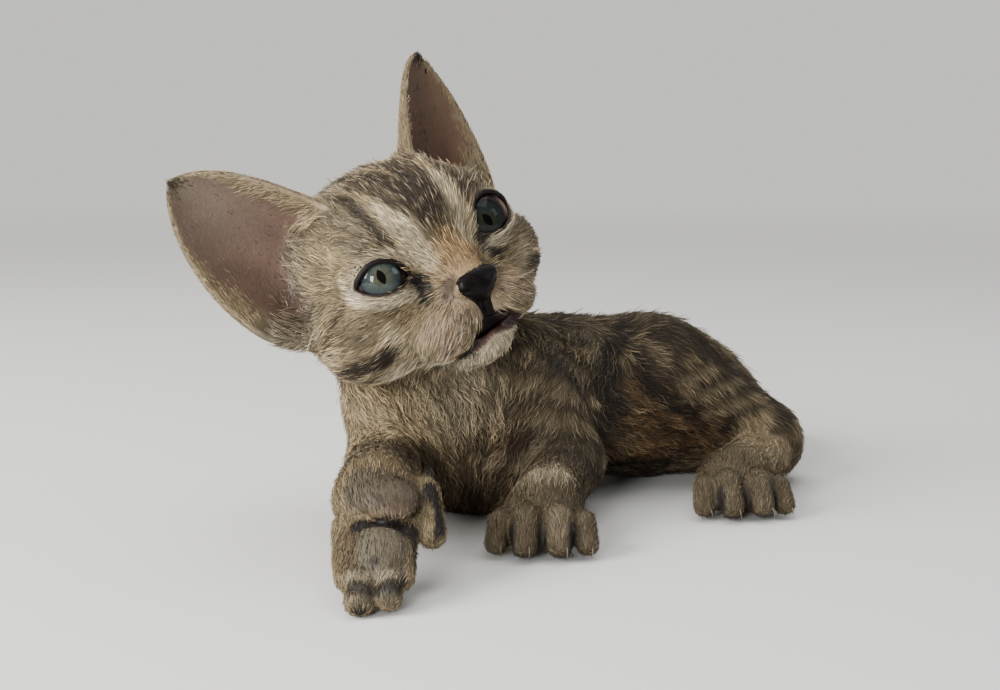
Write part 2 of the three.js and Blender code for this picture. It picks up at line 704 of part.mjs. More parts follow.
const eyeBall = (side, spare) => {
  const r = EYE_RADIUS + spare;
  return roundSolid([side * EYE_AT[0], EYE_AT[1], EYE_AT[2]], [r, r, r], headFrame, 20);
};
const noseBlock = (spare) => roundSolid(NOSE_AT, NOSE_SIZE.map((r) => r + spare), headFrame);

let head = wholeHead;
for (const [name, side] of Object.entries(SIDES)) {
  head = head.subtract(eyeBall(side, GAP));
  head = head.subtract(lidOpening(name));
}
head = largest(head.subtract(noseBlock(GAP)));

// The nose is meshed again, finely enough for the nostrils
const NOSE_BOX = [[-8, -36, -14], [8, -22, -1]];
const insideBlock = ball(NOSE_AT, NOSE_SIZE);
const noseSurface = surfaceOf((...p) => Math.max(face(...p), insideBlock(...p)), NOSE_BOX, NOSE_CELL);
const nose = largest(
  solidOf(geometryOf(solidOfSurface(thinned(noseSurface, NOSE_TRIANGLES))), headFrame),
);

// Ears, each grown from the skull with a fillet at its foot
const EAR_BOX = [[6, -14, -14], [46, 24, 46]];
const EAR_FILLET = 4;
const rootedEar = (x, y, z) => {
  const wall = ear(x, y, z);
  return Math.max(blend(face(x, y, z), wall, EAR_FILLET), wall - EAR_FILLET);
};
const earSurface = thinned(surfaceOf(rootedEar, EAR_BOX, EAR_CELL), EAR_TRIANGLES);
const earSolid = (side) =>
  solidOf(geometryOf(solidOfSurface(earSurface)), headFrame.clone().multiply(mirror(side)));
const aroundHead = swollen(wholeHead, GAP * 1.5);

const model = new THREE.Group();
model.name = "kitten";
const fur = new THREE.MeshStandardMaterial({ color: FUR, roughness: 0.9 });
const leather = new THREE.MeshStandardMaterial({ color: "#2a211f", roughness: 0.5 });
const cornea = new THREE.MeshStandardMaterial({ color: "#5d7078", roughness: 0.1 });

function add(name, solid, material = fur) {
  const mesh = new THREE.Mesh(geometryOf(solid), material);
  mesh.name = name;
  mesh.position.set(-MIDDLE[0], -MIDDLE[1], 0);
  model.add(mesh);
}

add("head", head);
add("nose", nose, leather);
for (const [name, side] of Object.entries(SIDES)) {
  add(`ear_${name}`, largest(earSolid(side).subtract(aroundHead)));
  add(`eye_${name}`, eyeBall(side, 0), cornea);
}
Object.entries(bodyPieces).forEach(([name, solid]) => add(name, solid));

export default model;
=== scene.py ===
"""A curly-coated, large-eared kitten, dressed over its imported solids.

One skin follows the smooth form that the solids were cut from, a little inside it, and a short wavy
coat of small tufts grows from it. Sizes are millimetres in the design's own axes until a mesh is made:
+X is to the right as the viewer sees it, -Y towards the viewer, +Z up from the floor.
"""
import itertools
import math

import bpy
import numpy as np
from mathutils import Euler, Matrix, Vector


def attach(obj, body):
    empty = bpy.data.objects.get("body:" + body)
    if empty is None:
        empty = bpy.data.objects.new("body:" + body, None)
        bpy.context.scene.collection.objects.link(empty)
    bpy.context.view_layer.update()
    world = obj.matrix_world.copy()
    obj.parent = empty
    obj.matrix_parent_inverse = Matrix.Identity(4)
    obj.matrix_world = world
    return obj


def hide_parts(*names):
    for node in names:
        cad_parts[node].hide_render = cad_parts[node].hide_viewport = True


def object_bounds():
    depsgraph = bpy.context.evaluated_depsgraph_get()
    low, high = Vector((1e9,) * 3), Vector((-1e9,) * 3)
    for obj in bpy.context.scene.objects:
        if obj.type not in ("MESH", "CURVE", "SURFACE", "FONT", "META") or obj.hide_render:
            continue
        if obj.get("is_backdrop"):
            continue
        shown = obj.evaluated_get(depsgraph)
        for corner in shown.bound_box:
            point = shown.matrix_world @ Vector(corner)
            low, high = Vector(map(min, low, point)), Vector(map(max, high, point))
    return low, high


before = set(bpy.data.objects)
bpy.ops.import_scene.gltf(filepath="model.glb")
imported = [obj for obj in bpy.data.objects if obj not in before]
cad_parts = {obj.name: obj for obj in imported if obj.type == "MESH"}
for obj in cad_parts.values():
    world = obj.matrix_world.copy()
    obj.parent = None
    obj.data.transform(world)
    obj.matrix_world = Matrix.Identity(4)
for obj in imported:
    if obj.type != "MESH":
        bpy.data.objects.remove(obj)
cad_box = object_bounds()

MIDDLE = np.array([4.0, 14.8, 0.0])  # this point of the design is the model's origin
MILLIMETRE = 0.001
SHARE = 1.0

# Head: its place, and its turn as nose up, ear towards its right shoulder, and face to its left
HEAD_AT = (-23.2, 0, 62.9)
HEAD_TURNS = (-5.7, -24.7, 33)
EYE_AT = (14.3, -13.4, 0.9)
EYE_RADIUS = 7.8
EYE_OUTWARD = 15  # degrees
LID_RADIUS = 8.9
LID_WIDTH = 12.4
# Height above and below the line between the corners, roundness at the inner corner, slant in degrees
LIDS = {"right": (4.6, 2.3, 0.5, 13), "left": (6.0, 2.9, 0.9, 8)}
EAR_BASE = np.array([22.5, 2.5, 6.5])
EAR_TIP = np.array([35.8, 16, 37.5])
EAR_FACING = np.array([0.5, -0.86, 0.08])
EAR_HALF_WIDTH = 16.5
EAR_WIDEST = 0.06
EAR_WRAP = (math.radians(78), math.radians(40))
EAR_WALL = 1.75
EAR_STRAIGHTER = 0.22  # how much less its inner edge bulges
EAR_ROOT = -0.3
EAR_FILLET = 4
NECK_FILLET = 7
NOSE_AT = np.array([0, -27.6, -7.8])

# How far the skin lies inside the solids' form, under the coat
HEAD_INSET = 0.32
EAR_INSET = 0.06
BODY_INSET = 0.6


# Numbers that look random but are the same in every run
def scramble(cells, seed):
    """A number from 0 to 1 for each whole-numbered cell."""
    n = cells.astype(np.int64)
    h = n[..., 0] * 374761393 + n[..., 1] * 668265263 + n[..., 2] * 1442695041 + seed * 1274126177
    h = (h ^ (h >> 13)) * 1274126177
    h = h ^ (h >> 16)
    return (h & 0xFFFFFF) / 0xFFFFFF


def noise(p, size, seed=0):
    """Smooth noise from -1 to 1 with features of the given size."""
    q = p / size
    low = np.floor(q)
    t = q - low
    t = t * t * (3 - 2 * t)
    total = np.zeros(len(p))
    for corner in itertools.product((0, 1), repeat=3):
        weight = np.prod(np.where(corner, t, 1 - t), axis=1)
        total += weight * scramble(low + corner, seed)
    return total * 2 - 1


def cell_centre(p, size, seed):
    """The nearest of a set of scattered points about `size` apart."""
    home = np.floor(p / size)
    best = np.full(len(p), 1e9)
    found = np.zeros_like(p)
    for step in itertools.product((-1, 0, 1), repeat=3):
        cell = home + step
        spot = np.stack([scramble(cell, seed + i) for i in range(3)], axis=1)
        centre = (cell + 0.15 + 0.7 * spot) * size
        away = ((centre - p) ** 2).sum(1)
        nearer = away < best
        best[nearer] = away[nearer]
        found[nearer] = centre[nearer]
    return found


def mix(a, b, t):
    return a + (b - a) * t


def step_between(low, high, value):
    """0 below low, 1 above high, smooth between."""
    t = np.clip((value - low) / (high - low), 0, 1)
    return t * t * (3 - 2 * t)


def fade(low, high, value):
    """1 below low, 0 above high, smooth between."""
    return 1 - step_between(low, high, value)


def tinted(colour, tint, share):
    """Each point's colour passed into the tint by its share."""
    return mix(colour, tint, share[:, None])


def unit(v):
    return v / np.maximum(np.linalg.norm(v, axis=-1, keepdims=True), 1e-9)


def dot(a, b):
    return (a * b).sum(-1)


# Shapes: each gives the distance to its surface, negative inside
def turn_of(degrees):
    lift, tilt, turn = (math.radians(v) for v in degrees)
    turned = Matrix.Rotation(turn, 3, "Z") @ Matrix.Rotation(lift, 3, "X") @ Matrix.Rotation(tilt, 3, "Y")
    return np.array(turned)


def blend(a, b, k):
    h = np.maximum(k - np.abs(a - b), 0) / k
    return np.minimum(a, b) - h * h * k * 0.25


def carve(a, b, k):
    return -blend(-a, b, k)


def ball(at, radii, degrees=(0, 0, 0)):
    turn = turn_of(degrees)
    radii = np.array(radii, float)

    def field(p):
        q = ((p - at) @ turn) / radii
        near = np.sqrt(np.einsum("ij,ij->i", q, q))
        q = q / radii
        slope = np.sqrt(np.einsum("ij,ij->i", q, q))
        return near * (near - 1) / np.maximum(slope, 1e-9)

    return field


def bone(start, end, r0, r1):
    start = np.array(start, float)
    along = np.array(end, float) - start
    length2 = along @ along

    def field(p):
        q = p - start
        t = np.clip(q @ along / length2, 0, 1)
        q = q - t[:, None] * along
        return np.sqrt(np.einsum("ij,ij->i", q, q)) - r0 - t * (r1 - r0)

    return field


def union(parts):
    def field(p):
        d = parts[0][0](p)
        for shape, k in parts[1:]:
            d = blend(d, shape(p), k)
        return d

    return field


def folded(p):
    """The points, with those of the right half mirrored to the left."""
    return np.abs(p) * (1, 0, 0) + p * (0, 1, 1)


def both_sides(shape):
    return lambda p: shape(folded(p))


def placed(turn, at, shape):
    at = np.array(at, float)
    return lambda p: shape((p - at) @ turn)


HEAD_MATRIX = turn_of(HEAD_TURNS)


def to_head(p):
    return (p - HEAD_AT) @ HEAD_MATRIX


def from_head(q):
    return np.asarray(q) @ HEAD_MATRIX.T + HEAD_AT


# Head, in its own axes: +x is its left, -y forward, +z up
skull = union([
    (ball((0, 3.5, 4.5), (22.5, 24, 17)), 1),
    (ball((0, -9, 8), (16, 12.5, 11)), 8),
    (both_sides(ball((15.6, -5, -10.4), (13.8, 15, 11.8))), 7),
    (both_sides(ball((18.5, -10.5, -7), (8.4, 8, 6.8))), 5),
    (ball((0, -15.5, -10), (12.5, 11, 9.5)), 6),
    (bone((0, -16, 2.5), (0, -25.8, -5.8), 6.5, 4.3), 5),
    (both_sides(ball((12.5, -13.5, 8.6), (8.5, 4.8, 4.2), (0, -12, 14))), 4),
    (both_sides(ball(EYE_AT, (LID_RADIUS,) * 3)), 2.5),
    (ball((0, -11, -18.6), (12, 13, 8.4), (-14, 0, 0)), 4),
    (ball((0, -18.6, -22.2), (8.6, 6.6, 5.0), (-12, 0, 0)), 3),
    (both_sides(ball((7.4, -21.4, -14.4), (9.0, 8.0, 6.8), (0, 16, 14))), 2.0),
    (ball((0, -27.4, -7.4), (4.4, 4.2, 3.6)), 1.6),
    (both_sides(ball((3.3, -27.6, -6.8), (2.7, 3.0, 2.4))), 1),
])
mouth = union([
    (both_sides(bone((0, -30.4, -15), (6.8, -26.2, -20.1), 0.65, 0.6)), 0.5),
    (both_sides(bone((0, -28.8, -16.9), (4.2, -27.4, -18.9), 1.3, 0.6)), 0.6),
    (ball((0, -23, -17.8), (5.4, 8, 1.3), (-8, 0, 0)), 1),
    (both_sides(bone((6.8, -26.2, -20.1), (13, -22.3, -20.9), 0.65, 0.65)), 0.5),
    (both_sides(bone((13, -22.3, -20.9), (15.8, -17.6, -20.8), 0.65, 0.4)), 0.5),
])
lower_lip = both_sides(bone((0, -25.8, -19.8), (6.4, -23.6, -21.7), 1.35, 1.1))
philtrum = bone((0, -31.2, -10.6), (0, -30.2, -15), 0.6, 0.8)
nostrils = both_sides(bone((1.5, -32.8, -8.4), (4.9, -30.2, -7.4), 0.8, 0.9))


def face(q):
    d = carve(skull(q), mouth(q), 0.8)
    d = blend(d, lower_lip(q), 1)
    d = carve(d, philtrum(q), 0.5)
    return carve(d, nostrils(q), 0.4)


EAR_LENGTH = np.linalg.norm(EAR_TIP - EAR_BASE)
EAR_AXIS = (EAR_TIP - EAR_BASE) / EAR_LENGTH
EAR_ACROSS = unit(np.cross(EAR_AXIS, EAR_FACING))
EAR_FRONT = unit(np.cross(EAR_ACROSS, EAR_AXIS))


def ear_places(q):
    """For points in the left ear's axes: its distance, share of the way up, and place round the cup."""
    p = folded(q) - EAR_BASE
    across = p @ EAR_ACROSS
    front = p @ EAR_FRONT
    along = p @ EAR_AXIS
    side = np.abs(across)
    u = np.clip(along / EAR_LENGTH, EAR_ROOT, 0.999)
    grown = np.maximum(u, 0)
    wrap = mix(EAR_WRAP[0], EAR_WRAP[1], grown)
    reach = np.where(u < EAR_WIDEST, EAR_WIDEST + 0.5, 1 - EAR_WIDEST)
    half = EAR_HALF_WIDTH * (1 - ((u - EAR_WIDEST) / reach) ** 2) ** 0.72
    half = half * (1 - EAR_STRAIGHTER * grown * (1 - grown) * (1 - np.tanh(across / 6)))
    radius = half / np.sin(wrap)
    depth = front - radius * np.cos(wrap)
    bent = np.arctan2(side, -depth)
    from_axis = np.hypot(side, depth)
    in_plane = np.where(bent < wrap, from_axis - radius, np.hypot(side - half, front))
    d = np.hypot(in_plane, along - u * EAR_LENGTH) - EAR_WALL * (0.5 - 0.18 * grown)
    return d, u, bent / wrap * np.sign(across), from_axis < radius


def ear(q):
    return ear_places(q)[0]


# Body
# Toes from the outer one to the inner one: place and size as shares of the paw's width, and reach forward
TOES = ((-0.385, 0.125, 0.76), (-0.155, 0.156, 1), (0.16, 0.156, 0.98), (0.385, 0.125, 0.76))


def paw(width, reach, thick=1):
    web = ball((0, -reach * 0.3, 4), (width * 0.36, reach * 0.4, 3.8 * thick))
    parts = [(ball((0, 5, 7 * thick), (width * 0.37, 9, 6.2 * thick)), 1), (web, 2)]
    for place, size, forward in TOES:
        x = place * width
        r = size * width
        tip = (x, r - reach * forward, r)
        knuckle = (x * 0.92, tip[1] * 0.48, (3.6 + r * 1.1) * thick)
        parts.append((bone((x * 0.6, 3, 7.4 * thick), knuckle, r * 0.9, r), 0.6))
        parts.append((bone(knuckle, tip, r, r * 0.96), 0.4))
    parts.append((ball((0, 2.6, 1.9), (width * 0.25, 4.2, 2.9)), 0.8))
    return union(parts)


def near_paw():
    """The outstretched paw, shown from below: wrist, main pad, the pad over the toes, toes and thumb."""
    parts = [
        (ball((0.3, 4.5, 7.5), (9.2, 8.5, 7)), 1),
        (ball((-2.8, 0.6, 2), (6.6, 5.6, 3.4)), 1.2),
        (ball((0.2, -11.5, 5.4), (8.0, 8.8, 5)), 1.5),
        (ball((-1.6, -12, 2.6), (6.2, 6.3, 3.6)), 1.2),
    ]
    for base, tip, r in (
        ((6.2, -3, 6.5), (4.9, -17.5, 3.6), 3.1),
        ((2.6, -4, 6.5), (2.4, -23.4, 3.4), 3.4),
        ((-2.8, -4, 6.5), (-3.1, -22, 3.4), 3.3),
        ((-6.4, -3, 6.5), (-5.9, -17.4, 3.6), 2.9),
    ):
        parts.append((bone(base, tip, r, r), 1.3))
    parts.append((bone((-9.8, 7, 8), (-11.6, -4.6, 6.8), 4.0, 3.4), 1.5))
    return union(parts)


def paw_frame(at, toes, sole):
    y = unit(-np.array(toes, float))
    z = -np.array(sole, float)
    z = unit(z - y * (z @ y))
    return np.stack([np.cross(y, z), y, z], axis=1), np.array(at, float)


DOWN = (0, 0, -1)
RIGHT_PAW = paw_frame((-25.2, -51, 19.3), (0.03, -0.79, -0.605), (0.05, -0.6, 0.79))
LEFT_PAW = paw_frame((9.2, -24, 0), (-0.04, -1, 0), DOWN)
LEFT_HIND = paw_frame((57.6, 8.2, 0), (0.1, -0.99, 0), DOWN)
RIGHT_HIND = paw_frame((47, 42, 5.5), (-0.95, -0.3, -0.05), (0.2, -0.9, -0.35))
SPINE_TURN = (0, 0, 36)
TAIL = [
    ((70, 69, 12), 8),
    ((75, 82, 7.5), 6.6),
    ((64, 93, 6), 5.8),
    ((46, 95, 5.4), 5.2),
    ((28, 89, 5), 4.7),
    ((13, 78, 4.4), 4.1),
    ((1, 66, 3.9), 3.4),
]
neck_part = (bone((-12, 15, 33), (-27, 10, 47), 18, 17), 8)
torso_parts = [
    (ball((-8, 17.5, 26), (21.5, 22.5, 24.5)), 1),
    (ball((14, 31, 24), (24, 20.5, 21.5), SPINE_TURN), 10),
    (ball((37, 45, 23), (24, 19, 21), SPINE_TURN), 10),
    (ball((56, 57, 14.5), (17.5, 16, 15.5), SPINE_TURN), 10),
    neck_part,
    (ball((-5, 12.5, 11), (16, 13.5, 12.2)), 8),
]
paw_parts = {
    "right": (placed(*RIGHT_PAW, near_paw()), 3),
    "left": (placed(*LEFT_PAW, paw(25.6, 12.4)), 3),
    "hind": (placed(*LEFT_HIND, paw(25.4, 12.6)), 3),
    "under": (placed(*RIGHT_HIND, paw(17, 12, 0.8)), 2),
}
leg_parts = [
    (ball((-26, 14, 27), (12.5, 13.5, 14)), 6),
    (bone((-26, 12, 25), (-27.5, 3, 14.5), 11.5, 9), 4),
    (bone((-27.5, 3, 14), (-26, -38, 17.2), 8.8, 8.5), 3),
    paw_parts["right"],
    (ball((5, 14.5, 29), (13, 13.5, 15)), 6),
    (bone((8, 13, 26), (16, 8, 13.5), 12, 9), 4),
    (bone((16, 7, 12.5), (10.6, -15, 9.6), 8.8, 7.8), 3),
    paw_parts["left"],
    (bone((51, 50, 20), (42, 38.5, 29.5), 15, 12), 7),
    (bone((41.5, 37.5, 29.5), (71, 41, 12.5), 12, 8.4), 4),
    (bone((72.5, 42, 8.5), (59, 15.5, 8), 7.6, 7.4), 3),
    paw_parts["hind"],
    (bone((50, 58, 15), (34, 47, 10), 14, 10), 5),
    (bone((34, 47, 9), (58, 48, 8), 8, 7), 3),
    paw_parts["under"],
]
tail_parts = [
    (bone(start, end, r0, r1), 4 if i == 0 else 1.5)
    for i, ((start, r0), (end, r1)) in enumerate(zip(TAIL, TAIL[1:]))
]
body = union(torso_parts + leg_parts + tail_parts)

# Eyelids
EYE_OUT = math.radians(EYE_OUTWARD)
lid_out = unit(np.array([math.sin(EYE_OUT), -math.cos(EYE_OUT), 0.05]))


def bezier(controls, count=41):
    t = np.linspace(0, 1, count)[:, None]
    a, b, c, d = (np.array(v, float) for v in controls)
    return a * (1 - t) ** 3 + 3 * b * t * (1 - t) ** 2 + 3 * c * t * t * (1 - t) + d * t**3


LID_HALF = LID_WIDTH / 2


def lid_shape(above, below, inner, slant):
    """The lids' own axes, out of the eye last, and the two curves that bound their opening."""
    along = np.array([math.cos(EYE_OUT), math.sin(EYE_OUT), math.tan(math.radians(slant))])
    along = unit(along - lid_out * (along @ lid_out))
    axes = np.stack([along, np.cross(lid_out, along), lid_out], axis=1)
    curves = [
        bezier([(-LID_HALF, 0), (-LID_HALF * inner, y), (LID_HALF * 0.6, y), (LID_HALF, 0)])
        for y in (above / 0.75, -below / 0.75)
    ]
    return axes, curves


LID_SHAPES = {side: lid_shape(*sizes) for side, sizes in LIDS.items()}


def lid_opening(q):
    """Distance from the lids' edge, negative in the opening, height out of the eye, and upper lid's share."""
    from_eye = folded(q) - EYE_AT
    found = {}
    for side, (axes, (top, bottom)) in LID_SHAPES.items():
        x, y, out = (from_eye @ axes).T
        upper = np.interp(x, *top.T)
        lower = np.interp(x, *bottom.T)
        across = np.maximum(y - upper, lower - y)
        beyond = np.abs(x) - LID_HALF
        d = np.where(beyond < 0, across * 0.85, np.hypot(np.maximum(beyond, 0), y))
        found[side] = d, out, step_between(-0.5, 1.0, y)
    is_left = q[:, 0] > 0
    return tuple(np.where(is_left, found["left"][i], found["right"][i]) for i in range(3))


def head_skin(q):
    """The bald head with its ears, and lids that lie on the eyes."""
    d = blend(face(q) + HEAD_INSET, ear(q) + EAR_INSET, EAR_FILLET)
    opening, out, _ = lid_opening(q)
    d = carve(d, np.maximum(opening, 2 - out), 0.3)
    return np.maximum(d, EYE_RADIUS + 0.08 - np.linalg.norm(folded(q) - EYE_AT, axis=1))


TOE_GAPS = (-0.27, 0.003, 0.272)
SLIT_WIDE = 0.38
SLIT_TALL = 3.6
PAW_SIZES = {"left": (LEFT_PAW, 25.6, 12.4), "hind": (LEFT_HIND, 25.4, 12.6)}


def toe_slits(p):
    found = np.full(len(p), 9.0)
    for (turn, at), width, reach in PAW_SIZES.values():
        q = (p - at) @ turn
        for gap in TOE_GAPS:
            slit = ball((gap * width * 0.96, -reach * 0.86, SLIT_TALL), (SLIT_WIDE, reach * 0.30, SLIT_TALL))
            found = np.minimum(found, slit(q))
    return found


def skin(p):
    bald = carve(body(p) + BODY_INSET, toe_slits(p), 0.5)
    return blend(head_skin(to_head(p)), bald, NECK_FILLET)


def slope_of(field, p, step=0.05):
    """The field and its gradient."""
    here = field(p)
    rise = [field(p + np.eye(3)[i] * step) - here for i in range(3)]
    return here, np.stack(rise, axis=1) / step


def settled(field, p, rounds=3, most=0.5):
    """Points moved on to the field's surface."""
    for _ in range(rounds):
        here, slope = slope_of(field, p)
        move = -here[:, None] * slope / np.maximum(dot(slope, slope), 0.2)[:, None]
        size = np.linalg.norm(move, axis=1, keepdims=True)
        p = p + move * np.minimum(1, most / np.maximum(size, 1e-9))
    return p


# Meshing
def graded(*stretches):
    """Grid lines from stretches of (start, end, step)."""
    lines = [np.arange(start, end, step) for start, end, step in stretches]
    return np.concatenate(lines)


SKIP = 4  # grid steps between the points that are tried first


def sampled(field, axes):
    """Field values on the grid: exact near the surface, elsewhere of the right sign only."""
    coarse = [axis[np.minimum(np.arange(0, len(axis) + SKIP, SKIP), len(axis) - 1)] for axis in axes]
    tries = np.stack(np.meshgrid(*coarse, indexing="ij"), axis=-1).reshape(-1, 3)
    rough = field(tries).reshape([len(c) for c in coarse])
    reach = SKIP * 1.15 * max(np.diff(axis).max() for axis in axes)
    near = np.abs(rough) < reach
    grown = near.copy()
    for axis in range(3):
        for shift in (-1, 1):
            grown |= np.roll(near, shift, axis)
    values = rough.astype(np.float32)
    for axis in range(3):
        values = np.repeat(values, SKIP, axis)
        grown = np.repeat(grown, SKIP, axis)
    shape = tuple(len(axis) for axis in axes)
    values = values[: shape[0], : shape[1], : shape[2]].copy()
    picked = np.argwhere(grown[: shape[0], : shape[1], : shape[2]])
    for part in np.array_split(picked, max(1, len(picked) // 400000)):
        points = np.stack([axes[i][part[:, i]] for i in range(3)], axis=1)
        values[tuple(part.T)] = field(points)
    return values


def surface(field, *axes):
    """Four-sided faces on the field's surface, one corner to each grid cell that it crosses."""
    values = sampled(field, axes)
    inside = values < 0
    corners = list(itertools.product((0, 1), repeat=3))
    full = sum(
        inside[tuple(slice(c, c + n - 1) for c, n in zip(corner, values.shape))].astype(np.int8)
        for corner in corners
    )
    mixed = (full > 0) & (full < 8)
    cells = np.argwhere(mixed)
    number = np.full(mixed.shape, -1, np.int32)
    number[mixed] = np.arange(len(cells))
    total = np.zeros((len(cells), 3))
    count = np.zeros(len(cells))
    for a in corners:
        for axis in range(3):
            if a[axis]:
                continue
            first = cells + a
            second = first + np.eye(3, dtype=int)[axis]
            va = values[tuple(first.T)]
            vb = values[tuple(second.T)]
            crossing = (va < 0) != (vb < 0)
            t = np.where(crossing, va / np.where(crossing, va - vb, 1), 0)
            spot = np.stack([axes[i][first[:, i]] for i in range(3)], axis=1)
            spot[:, axis] += t * (axes[axis][second[:, axis]] - axes[axis][first[:, axis]])
            total += spot * crossing[:, None]
            count += crossing
    points = total / count[:, None]
    faces = []
    for axis in range(3):
        u = (axis + 1) % 3
        v = (axis + 2) % 3
        low = [slice(None)] * 3
        high = [slice(None)] * 3
        low[axis] = slice(0, -1)
        high[axis] = slice(1, None)
        starts = inside[tuple(low)]
        edges = np.argwhere(starts != inside[tuple(high)])
        edges = edges[(edges[:, u] > 0) & (edges[:, v] > 0)]
        eu = np.eye(3, dtype=int)[u]
        ev = np.eye(3, dtype=int)[v]
        kept = np.all(edges < np.array(mixed.shape), axis=1)
        edges = edges[kept]
        ring = [number[tuple((edges - step).T)] for step in (0 * eu, eu, eu + ev, ev)]
        ring = np.stack(ring, axis=1)
        outward = starts[tuple(edges.T)]
        ring[~outward] = ring[~outward][:, ::-1]
        faces.append(ring)
    return points, np.concatenate(faces)


def to_model(p):
    return (p - MIDDLE) * MILLIMETRE


def new_mesh(name, points, faces, smooth=True):
    """A mesh object from points in the design's axes and faces that all have the same number of corners."""
    mesh = bpy.data.meshes.new(name)
    mesh.vertices.add(len(points))
    mesh.vertices.foreach_set("co", to_model(points).astype(np.float32).ravel())
    sides = faces.shape[1]
    mesh.loops.add(faces.size)
    mesh.loops.foreach_set("vertex_index", faces.astype(np.int32).ravel())
    mesh.polygons.add(len(faces))
    mesh.polygons.foreach_set("loop_start", np.arange(0, faces.size, sides, dtype=np.int32))
    mesh.polygons.foreach_set("use_smooth", np.full(len(faces), smooth))
    mesh.update(calc_edges=True)
    mesh.validate()
    piece = bpy.data.objects.new(name, mesh)
    bpy.context.scene.collection.objects.link(piece)
    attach(piece, "root")
    return piece


def paint(piece, colours, name="coat"):
    layer = piece.data.color_attributes.new(name, "FLOAT_COLOR", "POINT")
    rgba = np.concatenate([colours, np.ones((len(colours), 1))], axis=1)
    layer.data.foreach_set("color", rgba.astype(np.float32).ravel())


def set_uv(piece, uv):
    layer = piece.data.uv_layers.new(name="OFBake")
    layer.uv.foreach_set("vector", uv.astype(np.float32).ravel())


# Regions of the skin: the nearest shape names the region, and the way it faces picks one of six charts
region_shapes = [placed(HEAD_MATRIX, HEAD_AT, skull)]
region_shapes += [placed(HEAD_MATRIX, HEAD_AT, ear)]
region_shapes += [shape for shape, _ in torso_parts + leg_parts + tail_parts]
CHART_GAP = 1.5


def chart_of(p, normal):
    distances = np.stack([shape(p) for shape in region_shapes])
    region = distances.argmin(0)
    q = to_head(p)
    region = np.where(region == 1, np.where(q[:, 0] > 0, 1, len(region_shapes)), region)
    facing = np.abs(normal).argmax(1)
    away = np.take_along_axis(normal, facing[:, None], 1)[:, 0] > 0
    return region * 6 + facing * 2 + away, facing


class Charts:
    """Places every chart of the skin beside the others in the unit square."""

    def __init__(self, corners, normal):
        middles = corners.mean(1)
        self.chart, self.facing = chart_of(middles, normal)
        flat = self.flat(corners, self.facing)
        self.low = {}
        sizes = []
        for chart in np.unique(self.chart):
            spots = flat[self.chart == chart].reshape(-1, 2)
            low = spots.min(0)
            wide, tall = spots.max(0) - low + CHART_GAP
            self.low[chart] = low
            sizes.append((tall, wide, chart))
        sizes.sort(reverse=True)
        shelf = math.sqrt(sum(t * w for t, w, _ in sizes) * 1.15)
        self.spot = {}
        x = y = row = widest = 0
        for tall, wide, chart in sizes:
            if x and x + wide > shelf:
                y += row
                x = row = 0
            self.spot[chart] = (x, y)
            x += wide
            row = max(row, tall)
            widest = max(widest, x)
        self.scale = 1 / (max(widest, y + row) + CHART_GAP)

    @staticmethod
    def flat(p, facing):
        u = np.take_along_axis(p, ((facing + 1) % 3).reshape(-1, *[1] * (p.ndim - 1)), -1)[..., 0]
        v = np.take_along_axis(p, ((facing + 2) % 3).reshape(-1, *[1] * (p.ndim - 1)), -1)[..., 0]
        return np.stack([u, v], axis=-1)

    def place(self, p, face):
        """Chart places of points that lie on the given faces."""
        chart = self.chart[face]
        known = np.unique(chart)
        index = np.searchsorted(known, chart)
        low = np.array([self.low[c] for c in known])[index]
        spot = np.array([self.spot[c] for c in known])[index]
        shape = (-1,) + (1,) * (p.ndim - 2) + (2,)
        return (self.flat(p, self.facing[face]) - low.reshape(shape) + spot.reshape(shape)) * self.scale


# Markings: strokes on the head, in its own axes
CREAM = np.array([0.50, 0.415, 0.275])
SAND = np.array([0.30, 0.226, 0.122])
GREY = np.array([0.18, 0.145, 0.097])
BROWN = np.array([0.030, 0.020, 0.011])
BLACK = np.array([0.012, 0.009, 0.007])
ORANGE = np.array([0.33, 0.205, 0.095])
CHALK = np.array([0.60, 0.54, 0.45])
ROSE = np.array([0.36, 0.24, 0.18])
TAN = np.array([0.42, 0.325, 0.19])
RUST = np.array([0.125, 0.072, 0.033])
PAD = np.array([0.068, 0.052, 0.035])
LICHEN = np.array([0.090, 0.077, 0.053])
SNOW = np.array([0.60, 0.52, 0.37])

